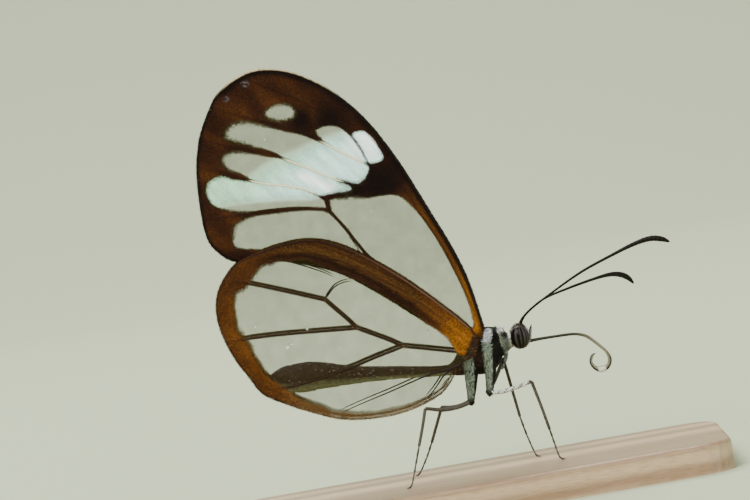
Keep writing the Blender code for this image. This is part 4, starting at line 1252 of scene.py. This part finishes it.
HINDWING_ROOT, HINDWING_LEAN = (-0.80, 0.50), 160.4
HINDWING_LEADING = [
    (-0.6, 0.4), (0.1, 1.4), (2.9, 3.0), (6.5, 4.7), (9.9, 5.9), (12.2, 6.38), (14.2, 6.3), (16.0, 5.7),
    (17.8, 4.75), (19.38, 3.62), (20.3, 2.05), (20.6, 0.35),
]
HINDWING_TRAILING = [
    (-0.6, -0.4), (0.6, -1.4), (1.1, -2.9), (1.9, -4.2), (3.9, -5.7), (6.2, -6.7), (8.9, -7.3),
    (11.4, -7.2), (13.9, -6.85), (15.7, -6.4), (17.0, -5.3), (18.6, -3.75), (20.0, -1.75), (20.6, 0.29),
]
HINDWING_VEINS = {
    "cubitus": [(0.2, -0.4), (1.1, -0.5), (3.2, -0.65), (5.3, -0.8)],
    "cell_side": [(5.3, -0.8), (6.3, -0.55), (7.3, -0.35), (9.2, 0.0)],
    "cell_corner": [(9.2, 0.0), (10.1, 0.6), (11.1, 1.2), (12.1, 1.8)],
    "cell_end": [(12.1, 1.8), (11.9, 2.3), (11.5, 3.0), (10.9, 3.45), (10.25, 3.7)],
    "media_1": [(12.1, 1.8), (15.8, 2.0), (18.6, 2.1), (20.0, 2.1)],
    "media_3": [(9.2, 0.0), (13.6, -1.1), (16.5, -1.9), (19.2, -2.8)],
    "cubitus_2": [(5.3, -0.8), (7.3, -2.0), (9.2, -3.2), (11.4, -4.4), (13.7, -5.5), (15.5, -6.0)],
    "anal_1": [(0.3, -0.8), (0.9, -1.7), (3.1, -2.8), (5.7, -4.5), (7.6, -5.7), (8.8, -6.5), (9.3, -6.9)],
    "anal_2": [(0.9, -1.7), (1.7, -2.5), (2.2, -3.6), (2.8, -4.7)],
    "costa": [(0.2, 0.6), (3.0, 2.1), (6.5, 3.7), (10.0, 4.9), (13.5, 5.3), (16.4, 4.8)],
    "radius": [(0.2, 0.1), (3.0, 1.4), (6.5, 2.8), (9.8, 3.9), (13.5, 4.7)],
    "radius_tip": [(15.6, 4.4), (14.2, 4.25), (12.7, 4.02), (11.6, 3.75)],
}
HINDWING_WINDOW = [
    (17.5, 3.6), (16.1, 4.3), (14.6, 4.7), (13, 4.6), (11.6, 4.3), (10.1, 4), (8.5, 3.5), (7, 2.8),
    (5.4, 2.2), (3.8, 1.4), (2.2, 0.6), (1.4, 0), (1, -0.6), (0.4, -0.72), (0, -0.74), (0.3, -1.25),
    (0.75, -1.9), (1.1, -2.8), (1.9, -4.05), (4.1, -5.5), (6.4, -6.42), (8.9, -6.85), (10.7, -6.7),
    (12.2, -6.45), (13.4, -6), (14.6, -5.5), (15.6, -4.9), (16.3, -4.2), (17, -3.5), (17.5, -2.8),
    (18.4, -2), (18.8, -1.3), (19.1, -0.4), (19.2, 0.7), (19.1, 1.3), (18.3, 2), (18.1, 2.8),
]
AMBER_ROOT, HINGE_SPECKS = [(0.9, 0.3, 1.9)], [(-0.28, 0.9, 0.5), (-0.33, -0.16, 0.5)]
DUST_ON_HINDWING = [
    (14.4, -2.4, 0.30), (14.1, -2.1, 0.18), (13.1, -0.7, 0.20), (17.2, -1.2, 0.18), (16.4, 0.2, 0.14),
    (11.0, -3.2, 0.14), (3.5, 0.6, 0.16), (8.6, 1.6, 0.13), (10.2, -1.8, 0.14), (5.8, -3.4, 0.13),
]

hindwing = Wing(
    "hindwing",
    HINDWING_ROOT,
    HINDWING_LEAN,
    lambda places: 1.66 + 0.22 * bump(places, HINDWING_ROOT, 2.6) + 0.14 * bump(places, (-14.2, 0.4), 3.0),
    HINDWING_LEADING,
    HINDWING_TRAILING,
    HINDWING_VEINS,
    rows=210,
    columns=124,
)


def hindwing_depth(flat):
    """How deep each place lies in the one big window, whose rim is uneven and blurs towards the tip."""
    depth = depth_inside(flat, HINDWING_WINDOW, 240) + 0.14 * (mottling(flat, 9, 3.4) - 0.5)
    return depth / (1 + 1.2 * clamp((flat[:, 0] - 15.5) / 2.0))


def hind_edge(flat):
    """1 along the hindwing's hind edge, short of its tip, and 0 elsewhere."""
    along, across = flat.T
    return clamp(-4.6 - across) * clamp((14.5 - along) / 2)


def hindwing_colours(flat, edge, vein):
    """A chestnut border, darker next to the window and finely streaked along the front, amber at the root
    with a dark hinge of hairs specked with tan, and tan round the hind edge."""
    along, across = flat.T
    uneven = mottling(flat, 5, 2.6)
    depth = hindwing_depth(flat)
    rim = clamp(1.25 + depth / 0.55)
    level = across - 0.42 * along + 0.010 * along**2 + 0.12 * mottling(flat, 6, 0.9)
    streak = 0.5 + 0.22 * (np.sin(11 * level) + np.sin(19 * level + 1.1) + np.sin(37 * level + 0.4))
    front = clamp((across - 0.2 - 0.16 * along) / 0.8) * clamp((18.5 - along) / 2)
    root = blots(flat, AMBER_ROOT)
    out = np.maximum(-depth, 0)
    toward_edge = out / (out + edge + 0.01)
    hind = hind_edge(flat)
    hinge = clamp((0.30 - 0.25 * across - along) / 0.20)
    return layered(
        CHESTNUT,
        (0.35 * uneven, COCOA),
        (front * np.clip(0.10 + along / 9, 0, 0.8), COCOA),
        (0.50 * front * streak, RUST),
        (0.8 * front * within(toward_edge, 0.55, 0.20, 0.30) * (0.5 + 0.5 * streak), HONEY),
        (0.7 * front * within(toward_edge, 0.20, 0.10, 0.14), INK),
        (0.25 * front * (1 - streak), INK),
        (0.75 * hind, TAN),
        (clamp(1.6 - along / 3.2) * 0.5, GINGER),
        (0.50 * root, AMBER),
        (0.55 * rim * (1 - hind) * clamp((across - 0.6) / 0.5), COCOA),
        (0.5 * clamp(1 - vein / 0.20) * (root < 0.2), INK),
        (0.75 * clamp(1.5 - edge / 0.14) * (1 - hind), INK),
        (hinge, HAIR_BROWN),
        (0.5 * hinge * blots(flat, HINGE_SPECKS) * (mottling(flat, 12, 34.0) > 0.5), TAN),
    )


def wing_finish(name):
    """Membrane, scaled border, milky band and dark vein edges as one material: the sheet's values say which
    lies where, and single scales and ragged edges come from small cells and noise. The milky band has a
    painted sheen in streaks along it and glows a little as painted light, most along its whitest streak."""
    finish = Finish(name, IOR=1.35, Specular_IOR_Level=0.14, Emission_Strength=BAND_GLOW)
    along, bright = finish.value("along"), finish.value("bright")
    where = finish.node("ShaderNodeCombineXYZ", {}, {0: along, 1: finish.value("across"), 2: 0.0})
    rows = finish.node("ShaderNodeMapping", {}, {"Vector": where, "Scale": SCALE_ROWS})
    scales = finish.cells(rows, 17.0)
    fray = finish.noise(where, 6.0)
    haze = finish.noise(where, 0.8, 3.0)
    stretched = finish.node("ShaderNodeMapping", {}, {"Vector": where, "Scale": SHEEN_STREAKS})
    sheen = finish.noise(stretched, 1.7)
    grain = finish.rise(finish.noise(rows, 7.5, 3.0), 0.32, 0.68)
    ragged = (scales - 0.5) * 0.10 + (fray - 0.5) * 0.05
    border = 1 - finish.rise(finish.value("clear") + ragged, *BORDER_EDGE)
    cloudy = (scales - 0.5) * 0.08 + (fray - 0.5) * 0.16
    milky = finish.rise(finish.value("milky") + cloudy, 0.0, 1.0) * (1 - border)
    halo = 1 - finish.rise(finish.value("vein") + (fray - 0.5) * 0.06, *HALO_EDGE)
    dust = finish.rise(finish.value("dust") * finish.noise(where, 14.0), *DUST_EDGE)
    brown = finish.shaded(finish.held("marking"), 0.50 + 0.30 * scales + 0.66 * grain)
    milk = finish.mix(finish.rise(along + haze * 3.0, *MINT_FROM), MILK, MINT)
    # Whiter in the band's whitest parts, the more where the painted sheen runs; then shaded by the painted
    # sheen
    milk = finish.mix(bright * (0.7 + 0.5 * sheen), milk, BRIGHT)
    milk = finish.shaded(milk, 0.30 + 0.08 * scales + 0.12 * grain + 0.26 * haze + 0.80 * sheen)
    # The band's glow: painted light, strongest along its whitest streak
    glow = milky * (0.30 + 0.70 * bright)
    finish.wear(Emission_Color=finish.mix(glow, (0.0, 0.0, 0.0), milk))
    colour = finish.mix(finish.rise(milky, 0.0, 0.22), SMOKE, milk)
    colour = finish.mix(halo * (1 - 0.80 * milky), colour, HALO_BROWN)
    colour = finish.mix(border, colour, brown)
    finish.wear(Base_Color=finish.mix(dust, colour, DUST))
    solid = finish.maths("MAXIMUM", border * (SCALED_ALPHA - finish.value("thin")), milky * MILKY_ALPHA)
    film = finish.maths("MAXIMUM", halo * HALO_ALPHA, FILM_ALPHA * (0.65 + 0.7 * haze))
    film = finish.maths("MAXIMUM", film, dust * DUST_ALPHA)
    finish.wear(Alpha=finish.maths("MAXIMUM", solid, film))
    finish.wear(Roughness=0.30 + 0.30 * border + 0.12 * scales)
    finish.relief((scales * 0.6 + grain * 0.4) * (0.10 + 0.90 * border), SCALE_DEPTH, 0.5)
    return finish


def nowhere(flat):
    """For what a wing doesn't have: 0 at each place."""
    return np.zeros(len(flat))


def thinness(flat):
    """How much cover the hindwing's border has lost: it thins out along the hind edge."""
    along, across = flat.T
    return 0.4 * within(across, -6.6, 1.6, 1.5) * clamp((14 - along) / 4)


WINGS = [
    (forewing, forewing_colours, forewing_depth, milkiness, brightness, nowhere, DUST_ON_FOREWING),
    (hindwing, hindwing_colours, hindwing_depth, nowhere, nowhere, thinness, DUST_ON_HINDWING),
]
for wing, colours, depth, milk, bright, thin, dust in WINGS:
    finish = wing_finish(wing.kind + "_scales")
    edge, vein = wing.to_edge(wing.flat), wing.to_vein(wing.flat)
    wing.clear, wing.shade = depth(wing.flat), colours(wing.flat, edge, vein)
    along, across = wing.flat.T
    values = {
        "clear": wing.clear,
        "milky": milk(wing.flat),
        "bright": bright(wing.flat),
        "thin": thin(wing.flat),
        "vein": vein,
        "dust": blots(wing.flat, dust),
        "along": along,
        "across": across,
    }
    for side, name in SIDE_NAMES.items():
        places, faces, flat_map = wing.sheet(side, vein)
        node = f"{wing.kind}_{name}"
        add_piece(
            node + "_membrane",
            places,
            faces,
            finish,
            "wing_membrane",
            [node],
            values={key: np.tile(numbers, 2) for key, numbers in values.items()},
            colours={"marking": np.tile(wing.shade, (2, 1))},
            map_at=flat_map,
        )


# The veins: fine stiff tubes that hold the membrane out, dark brown, but cream where three of them cross the
# milky band. The front edge of each wing is a vein too, the hindwing's a paler one.

VEIN_ROOT, VEIN_TIP, FRONT_RADIUS, VEIN_END, VEIN_SIDES = 0.080, 0.050, 0.080, 0.5, 8
VEIN_BROWN, VEIN_CREAM, VEIN_TAN = (0.012, 0.0055, 0.0024), (0.90, 0.78, 0.46), (0.100, 0.052, 0.028)
# The first row of the wing's grid that the front vein covers, and the distances that stand for the wing's
# whole length and for far from any vein or edge
FRONT_STARTS, WING_LENGTH, FAR_OFF = {"forewing": 2, "hindwing": 10}, 26, 9.0

vein_finish = Finish("vein_brown", Specular_IOR_Level=0.15)
beads = vein_finish.noise(vein_finish.places(), 7.0, 3.0)
vein_finish.marked(beads, (0.65, 0.7), (0.4, 0.3))
vein_finish.relief(beads, 0.02, 0.6)


def vein_tubes(wing, side, colours, depth):
    """A tube along each vein in the wing's middle, finer outwards and tapered at both ends, with its colours:
    the border's own where scales cover it, brown in the windows, and cream or tan where its kind is."""
    shapes, shades = [], []
    for name, line in [*wing.veins.items(), ("front", wing.front[FRONT_STARTS[wing.kind] : -3])]:
        front = name == "front"
        run = np.linalg.norm(np.diff(line, axis=0, prepend=line[:1]), axis=1).cumsum()
        out = clamp(np.hypot(*line.T) / WING_LENGTH)
        bare = clamp(depth(line) / 0.3 + 0.5)
        start, end = CREAM_VEINS.get((wing.kind, name), (0, 0))
        cream = within(line[:, 0], (start + end) / 2, (end - start) / 2, 0.7) * (end > 0)
        if front:
            radius = FRONT_RADIUS * (1 - 0.4 * out)
        else:
            radius = VEIN_ROOT + (VEIN_TIP - VEIN_ROOT) * out
            if name in FINE_VEINS[wing.kind]:
                radius *= 1.1 - 0.6 * run / run[-1]
            radius = radius * (0.5 + 0.5 * bare) * (1 + 0.45 * cream)
        radius *= np.clip(np.minimum(run, run[-1] - run) / VEIN_END, 0.08, 1) ** 0.6
        shapes.append(sweep(np.column_stack([wing.place(line, side), radius]), VEIN_SIDES))
        tan = front * (wing.kind == "hindwing") * clamp(1.5 - line[:, 0] / 9)
        far = np.full(len(line), FAR_OFF)
        own = colours(line, 0 * far if front else far, far)
        shade = np.outer(bare, VEIN_BROWN) + (1 - bare)[:, None] * own
        shade += cream[:, None] * (np.array(VEIN_CREAM) - shade) + tan[:, None] * (np.array(VEIN_TAN) - shade)
        shades.append(np.vstack([np.repeat(shade, VEIN_SIDES, axis=0), shade[:1], shade[-1:]]))
    turned = [(places, outward(places, faces)) for places, faces in shapes]
    return *joined(turned), np.vstack(shades)


for wing, colours, depth, *_ in WINGS:
    for side, name in SIDE_NAMES.items():
        places, faces, shades = vein_tubes(wing, side, colours, depth)
        node = f"{wing.kind}_{name}_veins"
        add_piece(node, places, faces, vein_finish, "wing_membrane", colours={"marking": shades})


# The wings' scales: flat leaves that lie outwards, close together, on the outer faces' brown borders, and a
# short fringe of narrower ones round the whole rim. All are rooted in the membrane.

SCALE_COUNTS, SCALE_SIZE, SCALE_SEED = {"forewing": 19500, "hindwing": 15500}, (0.10, 0.055), 21
# How far outside the windows the scales begin, over what width they close up, how thick each of them is, and
# how far off the membrane it starts
SCALES_FROM, SCALES_CLOSE, SCALE_THICK, SCALE_OFF = 0.13, 0.32, 0.006, 0.004
# The fringe's spacing, its leaves' size, how far inside the rim they root, and its tan at the forewing's tip:
# a painted rim of backlight
FRINGE_PITCH, FRINGE_SIZE, FRINGE_ROOT, FRINGE_PAINTED_BACKLIGHT = 0.034, (0.20, 0.055), 0.03, (0.60, 0.44, 0.25)

scale_finish = Finish("wing_scales", Specular_IOR_Level=0.12)
silk = scale_finish.rise(scale_finish.noise(scale_finish.places(), 12.0, 1.0), 0.34, 0.66)
scale_finish.marked(silk, (0.40, 1.2), (0.45, 0.3))


def outer_way(wing, flat, side, turn):
    """Which way the wing's plane runs outwards from its root at each place, turned a little by chance."""
    out = unit(flat + (4.0, 0.0))
    spun = np.column_stack([out[:, 0] - turn * out[:, 1], out[:, 1] + turn * out[:, 0]])
    return wing.place(flat + 0.2 * spun, side) - wing.place(flat, side)


def wing_scales(wing, side, draw):
    """Leaves on the outer face where the wing isn't clear, each in its place's own colour."""
    count = SCALE_COUNTS[wing.kind]
    grid = wing.flat.reshape(wing.rows, wing.columns, 2)
    down, over = (np.gradient(grid, axis=axis).reshape(-1, 2) for axis in (0, 1))
    room = np.abs(down[:, 0] * over[:, 1] - down[:, 1] * over[:, 0])
    share = np.cumsum(room * clamp((-SCALES_FROM - wing.clear) / SCALES_CLOSE))
    at = np.searchsorted(share, draw.random(count) * share[-1])
    flat = wing.flat[at] + down[at] * draw.uniform(-0.5, 0.5, (count, 1))
    flat += over[at] * draw.uniform(-0.5, 0.5, (count, 1))
    shade = wing.shade[at] * draw.uniform(0.50, 1.55, (count, 1))
    size = draw.uniform(0.75, 1.25, count) * np.clip(-wing.clear[at] / 0.35, 0.5, 1)
    normal = np.tile((0.0, float(side), 0.0), (count, 1))
    start = wing.place(flat, side, SHEET_HALF + SCALE_OFF)
    way = outer_way(wing, flat, side, draw.normal(0, 0.18, count))
    lift = np.radians(draw.uniform(2, 6, count))
    shape = leaves(start, normal, way, SCALE_SIZE[0] * size, SCALE_SIZE[1] * size, lift, SCALE_THICK)
    return shape, shade, flat


def fringe(wing, side, draw):
    """Narrow leaves rooted just inside the rim, pointing straight out across it."""
    steps = np.linalg.norm(np.diff(wing.outline, axis=0, prepend=wing.outline[:1]), axis=1).cumsum()
    stops = np.arange(0, steps[-1], FRINGE_PITCH)
    line = np.column_stack([np.interp(stops, steps, column) for column in wing.outline.T])
    rim = inset(line, wing.centre, EDGE_INSET + FRINGE_ROOT)
    turn = draw.normal(0, 0.10, len(line))[:, None] * (line - rim)[:, ::-1] * (-1, 1)
    start = wing.place(rim, side)
    way = wing.place(line + turn, side) - start
    normal = np.tile((0.0, float(side), 0.0), (len(line), 1))
    size = 0.8 + 0.4 * draw.random(len(line))
    width, lift = 0 * size + FRINGE_SIZE[1], 0.1 * (size - 1)
    shape = leaves(start, normal, way, FRINGE_SIZE[0] * size, width, lift)
    # At the forewing's tip the fringe turns tan: a painted rim of backlight
    if wing is forewing:
        along, across = rim.T
        shade = layered(INK, (0.9 * clamp((across + 1.5) / 1.5) * clamp((along - 21) / 3), FRINGE_PAINTED_BACKLIGHT))
    else:
        shade = layered(INK, (np.full(len(rim), 0.8), RUST), (hind_edge(rim), TAN))
    return shape, shade * draw.uniform(0.5, 1.3, (len(line), 1)), rim


scale_draw = np.random.default_rng(SCALE_SEED)
for wing, *_ in WINGS:
    for side, name in SIDE_NAMES.items():
        flakes, hem = wing_scales(wing, side, scale_draw), fringe(wing, side, scale_draw)
        places, faces = joined([flakes[0], hem[0]])
        shade, roots = np.vstack([flakes[1], hem[1]]), np.vstack([flakes[2], hem[2]])
        add_piece(
            f"{wing.kind}_{name}_flakes",
            places,
            faces,
            scale_finish,
            "wing_membrane",
            colours={"marking": np.repeat(shade, LEAF_POINTS, axis=0)},
            map_at=leaf_map(wing.map_at(roots)),
        )


# The room: a plain pale floor that sweeps up into a wall behind, three soft boxes, and a long lens that looks
# at the butterfly's right side from a little above it, tilted as the photograph is.

FLOOR_COLOUR = (0.50, 0.56, 0.38)
ROOM_COLOUR, ROOM_STRENGTH, LAMPS_FACE = (0.93, 0.97, 1.0, 1.0), 0.62, np.array((-0.004, 0, 0.018))
SWEEP_BACK, SWEEP_RADIUS, SWEEP_WIDE, SWEEP_HIGH = 0.35, 0.30, 3.0, 2.0
PICTURE_CENTRE, PICTURE_WIDTH, CAMERA_AWAY = np.array((-6.95, 0, 9.43)), 60.0, 400.0
CAMERA_RISE, CAMERA_ROLL, SENSOR = 2.9, 10.0, 36.0

floor_finish = Finish("plain_floor", Base_Color=(*FLOOR_COLOUR, 1.0), Roughness=0.9)
turn = np.linspace(0, math.pi / 2, 17)
depth = np.concatenate([[-2.0], SWEEP_BACK + SWEEP_RADIUS * np.sin(turn), [SWEEP_BACK + SWEEP_RADIUS]])
height = np.concatenate([[0.0], SWEEP_RADIUS * (1 - np.cos(turn)), [SWEEP_HIGH]])
across = np.array((-SWEEP_WIDE, SWEEP_WIDE))
rows = np.stack(np.broadcast_arrays(across[None], depth[:, None], height[:, None]), -1).reshape(-1, 3)
floor_mesh = make_mesh("floor", rows, grid_faces(len(depth), 2, wrap=False))
floor_mesh.materials.append(floor_finish.material)
floor = bpy.data.objects.new("floor", floor_mesh)
bpy.context.scene.collection.objects.link(floor)

world = bpy.data.worlds.new("room")
world.use_nodes = True
world.node_tree.nodes["Background"].inputs["Color"].default_value = ROOM_COLOUR
world.node_tree.nodes["Background"].inputs["Strength"].default_value = ROOM_STRENGTH
bpy.context.scene.world = world


def soft_light(name, place, size, power, colour):
    """A square soft box that faces the butterfly's middle."""
    lamp = bpy.data.lights.new(name, "AREA")
    lamp.size, lamp.energy, lamp.color = size, power, colour
    box = bpy.data.objects.new(name, lamp)
    box.location = place
    aim = Vector(LAMPS_FACE - np.array(place))
    box.rotation_euler = aim.to_track_quat("-Z", "Y").to_euler()
    bpy.context.scene.collection.objects.link(box)


soft_light("key", (-0.25, -0.40, 0.45), 0.30, 5.0, (1.0, 0.98, 0.94))
soft_light("fill", (0.50, -0.35, 0.15), 0.40, 1.6, (0.96, 0.98, 1.0))
soft_light("back", (-0.10, 0.28, 0.40), 0.30, 2.4, (1.0, 1.0, 0.96))

rise, roll = math.radians(CAMERA_RISE), math.radians(CAMERA_ROLL)
look = np.array((0, math.cos(rise), -math.sin(rise)))
level, upright = np.array((1.0, 0, 0)), np.array((0, math.sin(rise), math.cos(rise)))
right = level * math.cos(roll) - upright * math.sin(roll)
up = level * math.sin(roll) + upright * math.cos(roll)
camera_data = bpy.data.cameras.new("view")
camera_data.sensor_width = SENSOR
camera_data.lens = SENSOR * CAMERA_AWAY / PICTURE_WIDTH
camera_data.clip_start = 0.01
camera = bpy.data.objects.new("view", camera_data)
stand_point = (PICTURE_CENTRE + THORAX_AT - look * CAMERA_AWAY) * MM
matrix = np.eye(4)
matrix[:3, 0], matrix[:3, 1], matrix[:3, 2], matrix[:3, 3] = right, up, -look, stand_point
camera.matrix_world = Matrix(matrix.tolist())
bpy.context.scene.collection.objects.link(camera)
bpy.context.scene.camera = camera
